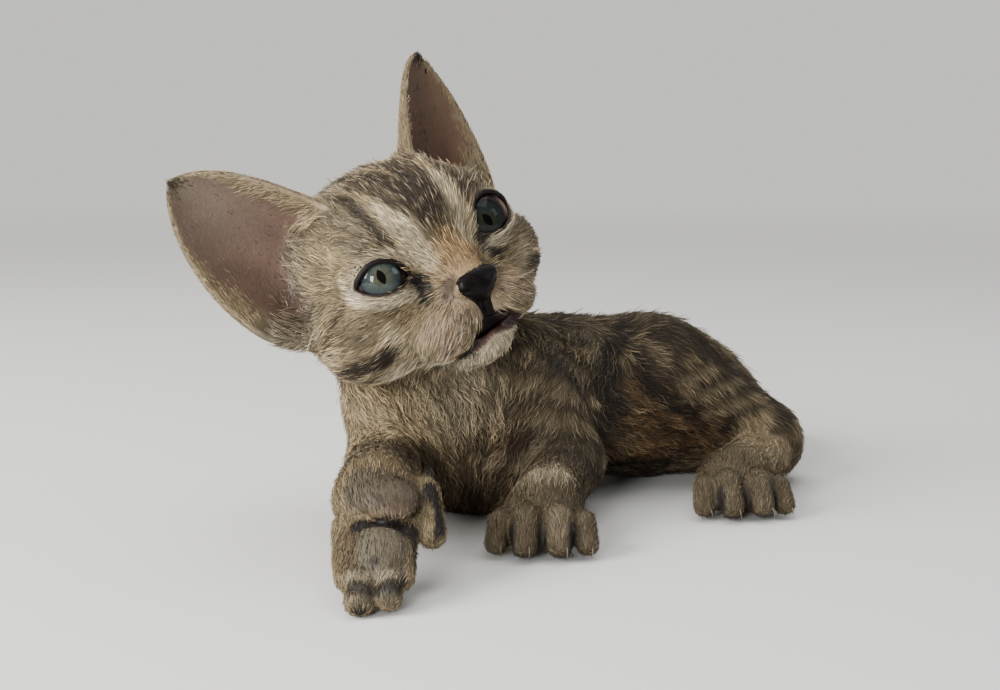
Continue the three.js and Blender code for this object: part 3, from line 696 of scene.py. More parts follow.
# (points, radius, softness, strength, colour, which sides)
HEAD_STROKES = [
    ([(14.5, -5, 17), (14.5, -12, 14.5), (14.4, -17, 11.5)], 3.2, 4, 0.6, GREY * 0.62),
    ([(0, -26.5, 0.5), (0, -28.5, -3.5)], 3.4, 3, 0.8, ORANGE),
    ([(4, -25, 1.5), (5, -26, -3)], 2.0, 2.4, 0.5, ORANGE),
    ([(6.1, -22.6, 1.5), (6.1, -21.8, 7.7), (6.8, -20.6, 11.3), (7.2, -19, 13.9)], 2.1, 2.2, 0.9, CREAM),
    ([(10, -21, 4.7), (15, -20, 5.7), (21, -15, 4.6)], 1.2, 1.5, 0.6, CREAM),
    ([(9, -22, -3.8), (15, -21.4, -3.2), (20, -18.6, -1.2), (23, -15.5, 2)], 1.1, 1.3, 0.85, SNOW),
    ([(1.0, -22.5, 10), (2.2, -17, 17), (3.2, -8, 21), (3.4, 6, 22)], 1.6, 1.4, 0.95, BROWN),
    ([(4.1, -21.0, 12.5), (6.0, -15.5, 17), (7, -6, 20.5)], 0.9, 1.0, 0.9, BROWN),
    ([(11, -20.5, 7.4), (11.6, -18, 12.8), (10.8, -12, 17.2), (10, -2, 20.5)], 0.7, 1.0, 0.9, BROWN),
    ([(14.8, -18.7, 8.7), (14.7, -17.5, 11.1)], 0.8, 1.0, 0.6, BROWN),
    ([(3.0, -24.2, 6), (2.2, -22.6, 9.5)], 1.5, 2.0, 0.65, BROWN),
    ([(0, -18, 17), (0, -22.5, 10.5)], 2.4, 2.2, 0.7, BROWN),
    ([(18, -14, 12), (19, -4, 15)], 0.6, 1.2, 0.5, BROWN),
    ([(9.9, -20.8, -1.1), (8.2, -20.9, -2.4), (9.0, -21.9, -5.6)], 1.2, 0.9, 1.0, BLACK, -1),
    ([(9.4, -21.6, -0.4), (9.8, -21.8, -3.2), (11.8, -21.3, -6.6)], 0.9, 0.9, 0.95, BLACK, 1),
    ([(5.6, -26.5, -4.5), (6.8, -25.4, -6.6)], 1.0, 1.2, 0.85, BROWN),
    ([(23.0, -12.8, 1.6), (25.3, -12, -1.8), (27.5, -8, -6.1)], 0.9, 1.0, 0.9, BROWN),
    ([(27.7, -10.6, -5.1), (28.2, -5, -9)], 0.6, 1.1, 0.7, BROWN),
    ([(19.6, -19.2, -12.5), (23.8, -16.1, -13.9), (26.4, -12.2, -14.6), (27, -6, -15.5)], 1.5, 1.6, 1, BROWN),
    ([(17, -21, -6.5), (21.5, -18.6, -6), (25, -14, -6.5)], 2.2, 2.4, 0.5, BROWN),
    ([(24.5, -12, -9.5), (27.5, -6, -11)], 0.6, 1.2, 0.6, BROWN),
    ([(22, -13, -18), (24, -4, -20)], 0.9, 1.6, 0.6, BROWN),
    ([(6, -27.5, -9.8), (12, -25.6, -10.8), (12, -26.5, -15.5)], 2.6, 2.4, 0.3, ROSE),
    ([(18.8, -19.3, -9), (15.9, -20.6, -15.7)], 1.4, 2, 0.5, CREAM),
    ([(0, -23, -24), (6, -20.5, -24.5), (0, -16, -26.5)], 4.4, 4, 0.95, SNOW),
    ([(9, -19, -22.5), (17, -14, -21)], 3.2, 3, 0.85, SNOW),
    ([(20, -8, 12), (24, 0, 6)], 3.5, 4, 0.5, SAND),
    # painted shade: black and brown along the crease from the mouth's corner down along the jaw
    ([(5.0, -24.8, -20.2), (7.2, -23.8, -20.8), (8.0, -21.6, -21.3)], 0.6, 0.5, 1.0, BLACK),
    ([(8.0, -21.6, -21.3), (9.0, -12.6, -23.5), (9.6, -6.9, -25.0)], 0.3, 0.9, 0.75, BROWN),
]


def from_stroke(q, points):
    points = [np.array(p, float) for p in points]
    if len(points) == 1:
        return np.linalg.norm(q - points[0], axis=1)
    spread = [bone(a, b, 0, 0)(q) for a, b in zip(points, points[1:])]
    return np.min(spread, axis=0)


PAD_DOTS = [
    (5.0 + 1.9 * column + 0.4 * row, -11.4 - 1.75 * row - 0.25 * column)
    for row in range(4)
    for column in range(4)
]


def head_colour(q):
    side = folded(q)
    ragged = noise(q * (1, 0.5, 1), 1.6, 3) * 0.9 + noise(q, 4.5, 4) * 0.8
    back = step_between(-14, 6, q[:, 1])[:, None]
    colour = mix(SAND, GREY, back)
    low = step_between(-4, -16, q[:, 2])[:, None]
    colour = mix(colour, mix(SAND, CREAM, 0.35), low * 0.8)
    ticking = step_between(0.1, 0.9, noise(q * (1, 0.35, 1), 1.3, 8))[:, None]
    colour = mix(colour, BROWN, ticking * 0.28)
    for points, radius, soft, strength, tint, *only in HEAD_STROKES:
        place = q * (only[0], 1, 1) if only else side
        away = from_stroke(place, points) + ragged * min(soft, 1.6) * 0.55
        share = fade(radius, radius + soft, away) * strength
        colour = tinted(colour, tint, share)
    dots = np.min([np.hypot(side[:, 0] - x, side[:, 2] - z) for x, z in PAD_DOTS], axis=0)
    on_pad = (side[:, 1] < -20) & (dots < 1.5)
    share = fade(0.35, 0.8, dots) * on_pad * 0.85
    return tinted(colour, BROWN, share)


BANDS = [
    # (start, end, spacing, share of dark, strength)
    ((-20, 12, 34), (62, 62, 20), 10.5, 0.0, 0.6),
    ((-26, 14, 34), (-26, -38, 17.2), 8.5, -0.1, 0.5),
    ((5, 14, 36), (10.6, -15, 9.6), 6.5, 0.1, 0.75),
    ((44, 44, 38), (71, 41, 12), 7.2, 0.05, 0.5),
    ((72, 42, 9), (59, 15, 8), 8.0, 0.0, 0.5),
]
BODY_STROKES = [
    # painted light: the shoulder on the lit side is drawn lighter
    ([(-34, 3, 27), (-22, -1, 27), (-28, -8, 24)], 6, 6, 0.75, TAN),
    ([(46, 34, 36), (58, 34, 28), (67, 35, 20)], 8, 6, 0.78, BROWN),
    ([(66, 32, 15), (70, 30, 11), (64, 18, 13)], 4, 4, 0.8, TAN),
    ([(34.9, 22, 25), (48.7, 30.8, 15.5), (36, 30, 10)], 6, 4, 0.9, RUST),
    # painted shade: near black low under the belly, by the floor
    ([(22, 26, 10), (36, 36, 4), (50, 30, 4)], 4, 4, 0.9, BLACK),
    ([(31, 33, 42), (28.4, 23.3, 37.5), (24.4, 15.1, 30.3), (27.5, 16.3, 25)], 2.2, 3.4, 0.85, BLACK),
    ([(33.1, 25.3, 35.6), (36, 23.6, 29.8), (40.2, 24.3, 25.6), (46.7, 27.4, 20.9)], 1.4, 2, 0.85, BLACK),
    ([(9.4, 5.7, 39.7), (15.7, 8.4, 35.9), (20.7, 10.5, 27.2), (25.5, 15.4, 19.2)], 1.2, 2.2, 0.8, BLACK),
    ([(44, 34, 42), (56, 38, 36), (66, 42, 27), (73, 46, 17)], 3.6, 3.6, 0.7, BROWN),
    ([(44.8, 26.5, 34.4), (41.1, 24.5, 29.6), (42.2, 24.8, 26)], 0.8, 1.3, 0.9, BROWN),
    ([(54, 30.3, 30.2), (48.5, 26.6, 27.2), (48.3, 27.9, 20.8)], 0.8, 1.3, 0.9, BROWN),
    ([(62.3, 33.7, 26), (53.9, 28.8, 23.7), (50.9, 28.5, 20.7), (50.8, 30.9, 16)], 0.8, 1.3, 0.9, BROWN),
    ([(66.6, 33.9, 22.2), (59.3, 30.2, 20.9), (56.5, 31.1, 16)], 0.8, 1.3, 0.9, BROWN),
    ([(71.1, 32.3, 15.2), (74, 38, 18)], 0.9, 1.5, 0.8, BROWN),
    ([(49.2, 29.2, 35), (46.4, 26.9, 33.8)], 0.6, 1, 0.75, SAND),
    ([(53.6, 31.2, 32.1), (45.8, 25.6, 28.4), (46.4, 26.2, 24.7)], 0.6, 1.2, 0.6, TAN * 0.75),
    ([(60.9, 34.4, 27.9), (55, 29.5, 26.7), (50.7, 27.7, 24.5)], 0.6, 1.2, 0.6, TAN * 0.75),
    ([(66.8, 35.4, 23.5), (58.8, 30.1, 22.4), (52, 29, 20.1)], 0.6, 1.2, 0.6, TAN * 0.75),
    ([(35.7, 32.5, 41.2), (31.3, 25.5, 37.1), (30.3, 22.3, 34.6)], 0.4, 0.8, 0.7, SAND),
    ([(39.2, 26.8, 36.4), (41.4, 25.9, 34.5)], 1.0, 1.6, 0.5, TAN * 0.6),
    ([(16, 6, 13), (12.4, -10, 11)], 7, 4, 0.6, BROWN),
    ([(12.6, -29, 9.5), (13, -33, 7.5)], 1.2, 1.6, 0.6, CREAM),
    ([(5, -17, 14), (13, -16, 14)], 1.6, 3, 0.6, CREAM),
    ([(-17.1, -0.5, 14.4), (-17.8, 0.1, 12.3)], 0.6, 0.8, 0.95, CHALK),
    # painted shade: brown low on the chest between the forelegs, by the floor
    ([(-10, -3, 6), (2, -2, 5)], 3, 4, 0.5, BROWN),
]
# In the axes of the outstretched paw, seen on its sole
SOLE_STROKES = [
    ([(2, 3, 0), (-6.5, 2.5, 0)], 4.2, 3.0, 0.9, PAD),
    ([(-2, -3.8, 0), (-7, -3.3, 0)], 0.7, 0.9, 0.6, ROSE * 0.6),
    ([(-0.4, -1, 0), (-2.4, -1.4, 0)], 0.5, 0.5, 0.6, BROWN),
    ([(-1.7, -10.5, 0), (-1.7, -14, 0)], 4.0, 3.4, 0.85, LICHEN),
    ([(5.5, -8, 2), (5, -16, 2)], 1.8, 1.8, 0.6, RUST * 0.55),
    ([(-5.5, -17, 0)], 1.8, 1, 0.6, PAD),
    ([(4, -18.3, 1), (-4, -18.6, 1)], 0.6, 0.8, 0.8, CREAM * 0.8),
    # painted shade: a black spot in the hollow among the pads, in place of a dent
    ([(-0.3, -15.9, 0)], 0.8, 0.5, 0.95, BLACK),
    ([(3.6, -21, 1), (0, -21.6, 1)], 1.5, 0.8, 0.92, BLACK),
    ([(-3.4, -21.2, 1), (-6.6, -20.2, 1)], 1.6, 0.8, 0.95, BLACK),
    ([(2.8, -24.6, 1), (-4.2, -23.6, 1)], 1.0, 0.8, 0.7, LICHEN * 1.3),
    # dark underside of the toes' tips, partly painted shade where they meet the floor
    ([(3.6, -26.6, 2), (0.4, -27.2, 2)], 1.3, 1, 0.95, BLACK),
    # painted shade: the crease under the overhanging main pad
    ([(2.8, -5.5, 3.2), (-2.5, -6, 3.2), (-8, -5.4, 3.2)], 1.9, 0.8, 1, BLACK),
    ([(-13.6, -9, 4), (-13.8, 0, 4), (-11.5, 6, 5)], 1.5, 0.7, 1, BLACK),
    ([(-8.6, -6, 3), (-9.4, -14, 4)], 1.2, 0.8, 0.9, BLACK),
]
SOLE_BARE = [
    ([(2, 3, 0), (-6.5, 2.5, 0)], 4.6),
    ([(-1.7, -10.5, 0), (-1.7, -14, 0)], 4.4),
    ([(2.8, -5.6, 3.2), (-7.8, -5.5, 3.2)], 2.0),
    ([(3.6, -21, 1), (0, -21.6, 1)], 1.8),
    ([(-3.4, -21.2, 1), (-6.6, -20.2, 1)], 1.9),
    ([(-13.6, -9, 4), (-13.8, 0, 4), (-11.5, 6, 5)], 1.7),
]


def stroked(p, colour, strokes, ragged):
    for points, radius, soft, strength, tint in strokes:
        away = from_stroke(p, points) + ragged * min(soft, 1.8) * 0.5
        share = fade(radius, radius + soft, away) * strength
        colour = tinted(colour, tint, share)
    return colour


def body_colour(p, normal):
    ragged = noise(p, 7, 21) * 1.6 + noise(p, 2.4, 22) * 0.9
    colour = np.repeat(mix(SAND, GREY, 0.5)[None], len(p), axis=0) * 0.74
    near = np.full(len(p), 1e9)
    dark = np.zeros(len(p))
    for start, end, spacing, share, strength in BANDS:
        start = np.array(start, float)
        along = np.array(end, float) - start
        length = np.linalg.norm(along)
        place = (p - start) @ along / length
        away = bone(start, end, 0, 0)(p)
        wave = np.sin(2 * np.pi * (place + ragged) / spacing) + share
        closer = away < near
        near = np.where(closer, away, near)
        dark = np.where(closer, step_between(0.0, 0.9, wave) * strength, dark)
    colour = tinted(colour, BROWN, dark)
    top = step_between(0.55, 0.95, normal[:, 2]) * step_between(30, 40, p[:, 2])
    colour = tinted(colour, BROWN, top * 0.45)
    under = step_between(0.1, -0.6, normal[:, 2])[:, None]
    colour = mix(colour, RUST, under * 0.7)
    fore = step_between(-2, -10, p[:, 1])[:, None]
    colour = mix(colour, mix(SAND, GREY, 0.3) * 0.8, fore * 0.4)
    colour = stroked(p, colour, BODY_STROKES, ragged * 0.7)
    throat = fade(6, 17, np.linalg.norm(p - (-12, -6, 36), axis=1))
    return tinted(colour, CREAM, throat * 0.4)


# the hind paw tucked under the belly is almost all brown as painted shade
PAW_TONES = {"right": 0.15, "left": 0.78, "hind": 0.70, "under": 0.97}  # share of brown


def toe_gap(p):
    """1 in the grooves between the toes of the two paws that stand on the floor, 0 elsewhere, and near 1 low
    on the toes' fronts. This is painted black as painted shade; low on the toes it also stands for their dark
    pads.
    """
    deep = np.zeros(len(p))
    for (turn, at), width, reach in PAW_SIZES.values():
        q = (p - at) @ turn
        ahead = step_between(-0.42, -0.62, q[:, 1] / reach) * (q[:, 1] > -reach - 3) * (q[:, 2] < 10)
        for gap in TOE_GAPS:
            line = fade(0.6, 1.3, np.abs(q[:, 0] - gap * width * 0.96))
            deep = np.maximum(deep, line * ahead)
        pads = step_between(-0.55, -0.8, q[:, 1] / reach) * step_between(2.6, 1.3, q[:, 2])
        deep = np.maximum(deep, pads * (np.abs(q[:, 0]) < width * 0.6) * (q[:, 1] > -reach - 3) * 0.9)
    return deep


def sole_bareness(p):
    turn, at = RIGHT_PAW
    q = (p - at) @ turn
    away = np.min([from_stroke(q, points) - radius for points, radius in SOLE_BARE], axis=0)
    return fade(-1.2, 0.9, away)


def coat_colour(p, normal):
    """Markings of skin and coat at points of the surface."""
    q = to_head(p)
    on_head = face(q)
    on_body = body(p)
    share = step_between(-2.5, 2.5, on_head - on_body)[:, None]
    colour = mix(head_colour(q), body_colour(p, normal), share)
    for name, (shape, _) in paw_parts.items():
        near = fade(0.5, 4, shape(p))
        colour = tinted(colour, mix(SAND, BROWN, PAW_TONES[name]), near * 0.75)
    turn, at = RIGHT_PAW
    sole = (p - at) @ turn
    on_sole = sole[:, 1] < 12
    marked = stroked(sole[on_sole], colour[on_sole], SOLE_STROKES, noise(p[on_sole], 2, 23) * 0.8)
    colour[on_sole] = marked
    # painted shade: near black in the grooves between the toes and low on their fronts
    colour = tinted(colour, BLACK, toe_gap(p) * 0.95)
    d, u, around, hollow = ear_places(q)
    outside = fade(1.2, 4, d) * ~hollow * step_between(0.0, 0.2, u)
    colour = tinted(colour, mix(SAND, ORANGE, 0.25) * 0.8, outside * 0.8)
    pale = fade(1.0, 3, d) * step_between(0.5, 0.8, np.abs(around)) * step_between(0.0, 0.1, u)
    colour = tinted(colour, mix(TAN, SAND, 0.5), pale * hollow * 0.8)
    wisp = fade(1.5, 4, d) * step_between(-0.2, -0.5, around) * step_between(0.3, 0.1, u)
    wisp = wisp * step_between(-0.25, -0.1, u) * hollow
    colour = tinted(colour, TAN, wisp * 0.5)
    rim = fade(1.0, 3, d) * step_between(0.93, 0.985, u)
    return tinted(colour, BROWN, rim * 0.9)


# Skin
# The grid is finest where the head is
SKIN_GRID = (
    graded((-79, 4, 0.62), (4, 20, 0.9), (20, 96, 1.4)),
    graded((-82, -36, 1.05), (-36, 2, 0.62), (2, 40, 0.77), (40, 110, 1.45)),
    graded((-4, 26, 1.15), (26, 40, 0.82), (40, 115, 0.62)),
)
SKIN_BASE = 0.25  # height of its underside over the floor
skin_points, skin_faces = surface(skin, *SKIN_GRID)
skin_points = settled(skin, skin_points)
skin_points[:, 2] = np.maximum(skin_points[:, 2], SKIN_BASE)

face_corners = skin_points[skin_faces]
face_normals = np.cross(face_corners[:, 2] - face_corners[:, 0], face_corners[:, 3] - face_corners[:, 1])
face_areas = np.linalg.norm(face_normals, axis=1) / 2
face_normals = unit(face_normals)
charts = Charts(face_corners, face_normals)
corner_normals = np.zeros_like(skin_points)
for corner in range(4):
    np.add.at(corner_normals, skin_faces[:, corner], face_normals * face_areas[:, None])
corner_normals = unit(corner_normals)

BARE_EAR = np.array([0.108, 0.066, 0.048])
PALE_EAR = np.array([0.110, 0.080, 0.060])
LEFT_EAR_SHADE = np.array([0.92, 0.76, 0.64])  # painted shade: the left ear's inside tone, as a share of the right one's
LIP = np.array([0.062, 0.030, 0.024])
# painted shade: near black for the inside of the open mouth
MOUTH_PAINTED_SHADE = np.array([0.012, 0.004, 0.004])
# the lids' own dark skin; the band is wider on the upper lid as painted shade
LID_EDGE_AND_SHADE = np.array([0.02, 0.012, 0.011])
SKIN_PAINTED_SHADE = 0.55  # painted shade: the skin takes this share of the coat's colour, darker as if shaded between the tufts
SOLE_SHARE = 0.35  # of the markings' full colour on the pads
# the crease at the mouth's corner, drawn near black below as painted shade
crease = both_sides(bone((4.4, -25.4, -19.6), (8.4, -20.6, -21.6), 0, 0))
lip_line = both_sides(bone((0, -26.4, -19.0), (5.2, -24.8, -20.9), 0.7, 0.4))


def skin_colour(p, normal):
    # painted shade: the skin is drawn darker than its coat, standing for the shade between the tufts
    colour = coat_colour(p, normal) * SKIN_PAINTED_SHADE
    q = to_head(p)
    d, u, around, hollow = ear_places(q)
    ragged = noise(q, 2.2, 81) * 0.08
    margin = np.where(around > 0, 0.80 - 0.14 * step_between(0.5, 0.2, u), 0.74)
    inside = fade(0.6, 2.5, d) * hollow * fade(margin, margin + 0.2, np.abs(around) + ragged)
    inside = inside * step_between(-0.25, -0.05, u) * step_between(0.99, 0.88, u)
    tone = mix(BARE_EAR, PALE_EAR, step_between(0.25, 0.85, u)[:, None])
    # painted light and shade of folds inside the ear, which the mesh does not have
    fold_shading = np.sin(around * 9 + noise(q, 9, 82) * 2.2) * step_between(0.75, 0.2, u) * 0.13
    tone = tone * (1 + fold_shading + noise(q, 3.5, 83) * 0.08)[:, None]
    # painted shade: the left ear's inside is drawn darker than the right one's
    tone = tone * np.where(q[:, :1] > 0, LEFT_EAR_SHADE, 1.0)
    # painted shade: darker towards the ear's base, in the canal
    canal_shade = step_between(0.16, -0.02, u) * fade(0.1, 0.7, np.abs(around))
    tone = tone * (1 - 0.75 * canal_shade)[:, None]
    colour = tinted(colour, tone, inside)
    # painted shade: the skin inside the open mouth is drawn near black
    mouth_shade = fade(0.6, 1.3, mouth(q))
    colour = tinted(colour, MOUTH_PAINTED_SHADE, mouth_shade)
    lip = fade(0.0, 0.5, lip_line(q)) * step_between(-0.05, 0.35, mouth(q))
    colour = tinted(colour, LIP, lip)
    # painted shade: near black along the crease at the mouth's corner
    colour = tinted(colour, BLACK * 0.6, fade(0.35, 0.8, crease(q)))
    # dark edge of the lids: their own dark skin, wider on the upper lid as painted shade of the lid over the
    # eye
    opening, out, upper = lid_opening(q)
    rim = fade(0, 0.8, opening - mix(0.0, 0.45, upper)) * (out > 0) * (out < 12)
    colour = tinted(colour, LID_EDGE_AND_SHADE, rim)
    bare = SOLE_SHARE * sole_bareness(p)[:, None]
    return colour * (1 - bare) + bare * coat_colour(p, normal)


skin_piece = new_mesh("skin", skin_points, skin_faces)
paint(skin_piece, skin_colour(skin_points, corner_normals))
set_uv(skin_piece, charts.place(face_corners, np.arange(len(skin_faces))).reshape(-1, 2))
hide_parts(*[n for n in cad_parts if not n.startswith(("eye", "nose"))])

# Lie of the coat: lines that it follows, each from where it comes to where it goes
LIES = [
    ((-24, 6, 52), (-10, 8, 30)),
    ((18.3, 16.3, 38.5), (10.5, 1.9, 32.4)),
    ((10.5, 1.9, 32.4), (4.6, -0.8, 24.5)),
    ((10.5, 1.1, 28.9), (-0.1, -2.1, 17.6)),
    ((-35.8, 5.2, 28.2), (-18.9, -1.6, 19.9)),
    ((-23.4, -2, 29.5), (-16.5, -1.4, 17.5)),
    ((-7, -5, 30.1), (-4.8, -3.4, 17.9)),
    ((-10, -4, 40), (-7, -5, 30)),
    ((-30, 20, 48), (-12, 28, 40)),
    ((-8, 22, 46), (40, 50, 42)),
    ((0, 10, 26), (45, 36, 16)),
    ((45, 52, 38), (76, 72, 14)),
    ((-30, 16, 36), (-30, 4, 16)),
    ((-27.5, 3, 16), (-26, -38, 17.2)),
    ((-25.4, -44, 17), (-24.6, -72, 2)),
    ((4, 12, 36), (15, 8, 16)),
    ((16, 7, 13), (10.6, -15, 9.6)),
    ((10, -16, 9), (8.6, -36, 2)),
    ((46, 42, 40), (54, 40, 24)),
    ((46, 38, 28), (71, 41, 12.5)),
    ((72.5, 42, 9), (59, 15.5, 8)),
    ((58, 12, 8), (56, -4, 2)),
    ((50, 58, 15), (34, 47, 10)),
    ((34, 46, 9), (50, 44, 7)),
]
LIES += [(start, end) for (start, _), (end, _) in zip(TAIL, TAIL[1:])]


def flow_of(p):
    """The way the body's coat lies, without its swirls."""
    total = np.zeros_like(p)
    for start, end in LIES:
        way = np.array(end, float) - start
        weight = 1 / (bone(start, end, 0, 0)(p) ** 2 + 9) ** 2
        total += weight[:, None] * way / np.linalg.norm(way)
    return unit(total)


def locks_of(p, size=1.9, reach=3.6, steps=3):
    """Noise drawn out along the lie of the coat, about -1.5 to 1.5: ridges and grooves of wavy locks."""
    total = noise(p, size, 91)
    for sign in (-1, 1):
        spot = p
        for _ in range(steps):
            bend = noise(spot, 6, 92)[:, None] * 0.5
            way = flow_of(spot)
            way = unit(way + bend * np.cross(way, (0.3, -0.9, 0.3)))
            spot = spot + way * (sign * reach / steps)
            total = total + noise(spot, size, 91)
    total = total / (2 * steps + 1)
    return total / max(total.std(), 1e-9)


def head_locks(p, size=1.1, drawn=0.17):
    """The same for the head, where the coat runs back from the nose."""
    v = to_head(p) - (0, -24, -6)
    run = np.linalg.norm(v, axis=1, keepdims=True)
    way = v / np.maximum(run, 1) * 21
    total = noise(way + run * drawn, size, 93) + 0.6 * noise(way + run * drawn * 1.4, size * 0.45, 94)
    return total / max(total.std(), 1e-9)


def towards_ear(axis, q):
    """An axis of the left ear, mirrored for points of the right half."""
    side = np.where(q[:, 0] < 0, -1.0, 1.0)
    return np.stack([axis[0] * side, np.full(len(q), axis[1]), np.full(len(q), axis[2])], 1)


def lie_of(p, normal, swirl):
    total = flow_of(p)
    q = to_head(p)
    on_face = unit(q - (0, -24, -6))
    d_ear, u, around, hollow = ear_places(q)
    axis = towards_ear(EAR_AXIS, q)
    on_ear = fade(1, 5, d_ear) * step_between(-0.05, 0.15, u)
    inward = towards_ear(EAR_ACROSS, q)
    hanging = on_ear * hollow * step_between(-0.4, -0.65, around) * step_between(0.85, 0.55, u)
    axis = mix(axis, inward * 0.9 + axis * 0.35, hanging[:, None])
    head_way = mix(on_face, axis, on_ear[:, None]) @ HEAD_MATRIX.T
    share = step_between(-4, 4, np.minimum(face(q), d_ear) - body(p))[:, None]
    way = mix(head_way, total, share)
    way = unit(way - normal * dot(way, normal)[:, None])
    side = np.cross(normal, way)
    angle = (noise(p, 9, 31) * 0.8 + noise(p, 3.5, 32) * 0.5) * swirl
    return unit(way * np.cos(angle)[:, None] + side * np.sin(angle)[:, None])


# Coat: what grows on each part
GROWTH = {
    # length, width, tufts to the square millimetre, height, wave, wavelength, clump size, pull, swirl
    "nose": (1.2, 0.15, 3.6, 0.22, 0.03, 3.0, 1.0, 0.2, 0.10),
    "face": (2.9, 0.17, 3.0, 0.45, 0.10, 3.2, 1.3, 0.4, 0.16),
    "crown": (4.4, 0.20, 2.6, 0.85, 0.22, 3.6, 1.7, 0.5, 0.26),
    "ear": (2.0, 0.16, 2.6, 0.28, 0.06, 3.0, 1.0, 0.2, 0.15),
    "neck": (6.0, 0.24, 2.1, 1.30, 0.60, 4.2, 2.2, 0.6, 0.55),
    "body": (4.6, 0.25, 1.7, 0.95, 0.50, 4.0, 2.0, 0.55, 0.40),
    "leg": (3.4, 0.21, 2.1, 0.65, 0.30, 3.4, 1.6, 0.45, 0.30),
    "paw": (2.0, 0.17, 2.9, 0.40, 0.10, 3.0, 1.1, 0.3, 0.25),
    "tail": (3.8, 0.23, 1.8, 0.80, 0.35, 3.6, 1.8, 0.5, 0.30),
}
GROWTH_NAMES = list(GROWTH)
GROWTH_TABLE = np.array([GROWTH[name] for name in GROWTH_NAMES])
HEAD_KINDS = GROWTH_NAMES.index("neck")  # the kinds before this one grow on the head
LOCK_SHARES = {"neck": 1.0, "body": 0.8, "leg": 0.6, "tail": 0.5}  # how wavy each is


def shares_of(shares, names):
    """The columns of the named kinds of coat."""
    return shares[:, [GROWTH_NAMES.index(name) for name in names]]


def growth_shares(p):
    """How much of each kind of coat grows at each point."""
    q = to_head(p)
    from_nose = np.linalg.norm(q - NOSE_AT, axis=1)
    d_ear, u, _, _ = ear_places(q)
    crown = step_between(20, 42, from_nose)
    near_nose = fade(4.5, 13, from_nose)
    ear_share = fade(0.8, 3.5, d_ear) * step_between(-0.05, 0.12, u)
    distances = {
        "nose": face(q) + 20 * (1 - near_nose),
        "face": face(q) + 3 * crown + 3 * near_nose,
        "crown": face(q) + 3 * (1 - crown),
        "ear": d_ear + 20 * (1 - ear_share),
        "neck": neck_part[0](p),
        "body": union([part for part in torso_parts if part is not neck_part])(p),
        "leg": union([part for part in leg_parts if part not in paw_parts.values()])(p),
        "paw": np.min([shape(p) for shape, _ in paw_parts.values()], axis=0),
        "tail": union(tail_parts)(p),
    }
    chest = np.linalg.norm((p - (-12, 4, 26)) / (1.2, 1, 1.4), axis=1)
    below = distances["body"] + 4 * step_between(8, 20, chest) - 0.5
    distances["neck"] = np.minimum(distances["neck"], below)
    weights = np.stack([np.exp(-((np.maximum(distances[n], 0) / 1.6) ** 2)) for n in GROWTH_NAMES], axis=1)
    return weights / np.maximum(weights.sum(1, keepdims=True), 1e-9)


def hairiness(p, normal):
    """Where the skin is bare or hidden, and where the coat grows in full."""
    q = to_head(p)
    d, u, around, hollow = ear_places(q)
    start = np.where(around > 0, 0.82 - 0.22 * step_between(0.55, 0.25, u), 0.66)
    edge = step_between(start, start + 0.22, np.abs(around)) + step_between(0.84, 0.97, u)
    inner = fade(0.8, 2.6, d) * hollow * step_between(-0.2, 0.0, u)
    grow = 1 - inner * (1 - np.clip(edge, 0.06, 1))
    opening, out, upper = lid_opening(q)
    near_lid = np.where((out > 0) & (out < 12), step_between(0, 0.5, opening - mix(0.2, 0.6, upper)), 1)
    grow = grow * near_lid
    grow = grow * step_between(0.6, 1.0, mouth(q)) * step_between(-0.1, 0.3, lip_line(q))
    grow = grow * step_between(0.3, 0.8, crease(q)) * step_between(-0.2, 0.4, nose_leather(q))
    grow = grow * (1 - 0.45 * sole_bareness(p)) * (1 - 0.85 * toe_gap(p))
    floor = (p[:, 2] < 1.2) & (normal[:, 2] < -0.5)
    return np.where(floor, 0.1, grow)


LEATHER_OUTLINE = (
    (-17.2, -14.5, -12.6, -11.4, -10.1, -8.3, -7.2, -6.2, -5.0, -4.2, -3.6),
    (2.2, 1.8, 1.9, 2.3, 3.2, 4.6, 5.4, 5.4, 4.8, 3.6, 1.0),
)


def nose_leather(q):
    """Distance from the bare leather of the nose, seen from the front."""
    x = np.abs(q[:, 0])
    half = np.interp(q[:, 2], *LEATHER_OUTLINE)
    tall = np.maximum(q[:, 2] - LEATHER_OUTLINE[0][-1], LEATHER_OUTLINE[0][0] - q[:, 2])
    return np.maximum(np.maximum(x - half, tall), q[:, 1] + 25)


# Tufts
FRINGE = (1.1, 1.2)  # how much longer and higher the hairs hang at the ear's inner edge
SPREAD_OF_LENGTH = (0.7, 1.25)
SPREAD_OF_WIDTH = (0.8, 1.25)
SPREAD_OF_HEIGHT = (0.55, 1.45)
STRAYS = 0.05  # share of tufts that stand up
LOCK_HEIGHT = 0.42
# paler on the locks' ridges and darker in their grooves: paler locks, with painted light on the ridges and
# painted shade in the grooves
LOCK_TONE_AND_LIGHT = 0.34
FACE_LOCKS = 0.75
WIDE_CLUMP = 2.0
NARROW_CLUMP = 1.2
PALE_HAIRS = (0.17, 0.42)  # their share and how pale they are
DARK_HAIRS = (0.20, 0.55)
TIP_SHADES = (0.45, 0.85, 1.15, 1.35)
TIP_ODDS = (0.25, 0.2, 0.35, 0.2)
SHADE_STOPS = (0, 0.35, 0.75, 1)  # along a tuft, with the shade at each
SHADES = (0.5, 0.9, 1.18, 1.0)

dice = np.random.default_rng(7)
middles = face_corners.mean(1)
shares = growth_shares(middles)
wanted = shares @ GROWTH_TABLE[:, 2] * hairiness(middles, face_normals) * face_areas * SHARE
count = np.floor(wanted + dice.random(len(wanted))).astype(int)
root_face = np.repeat(np.arange(len(count)), count)
along_u = dice.random((len(root_face), 1))
along_v = dice.random((len(root_face), 1))
a, b, c, d = (face_corners[root_face, i] for i in range(4))
roots = mix(mix(a, b, along_u), mix(d, c, along_u), along_v)

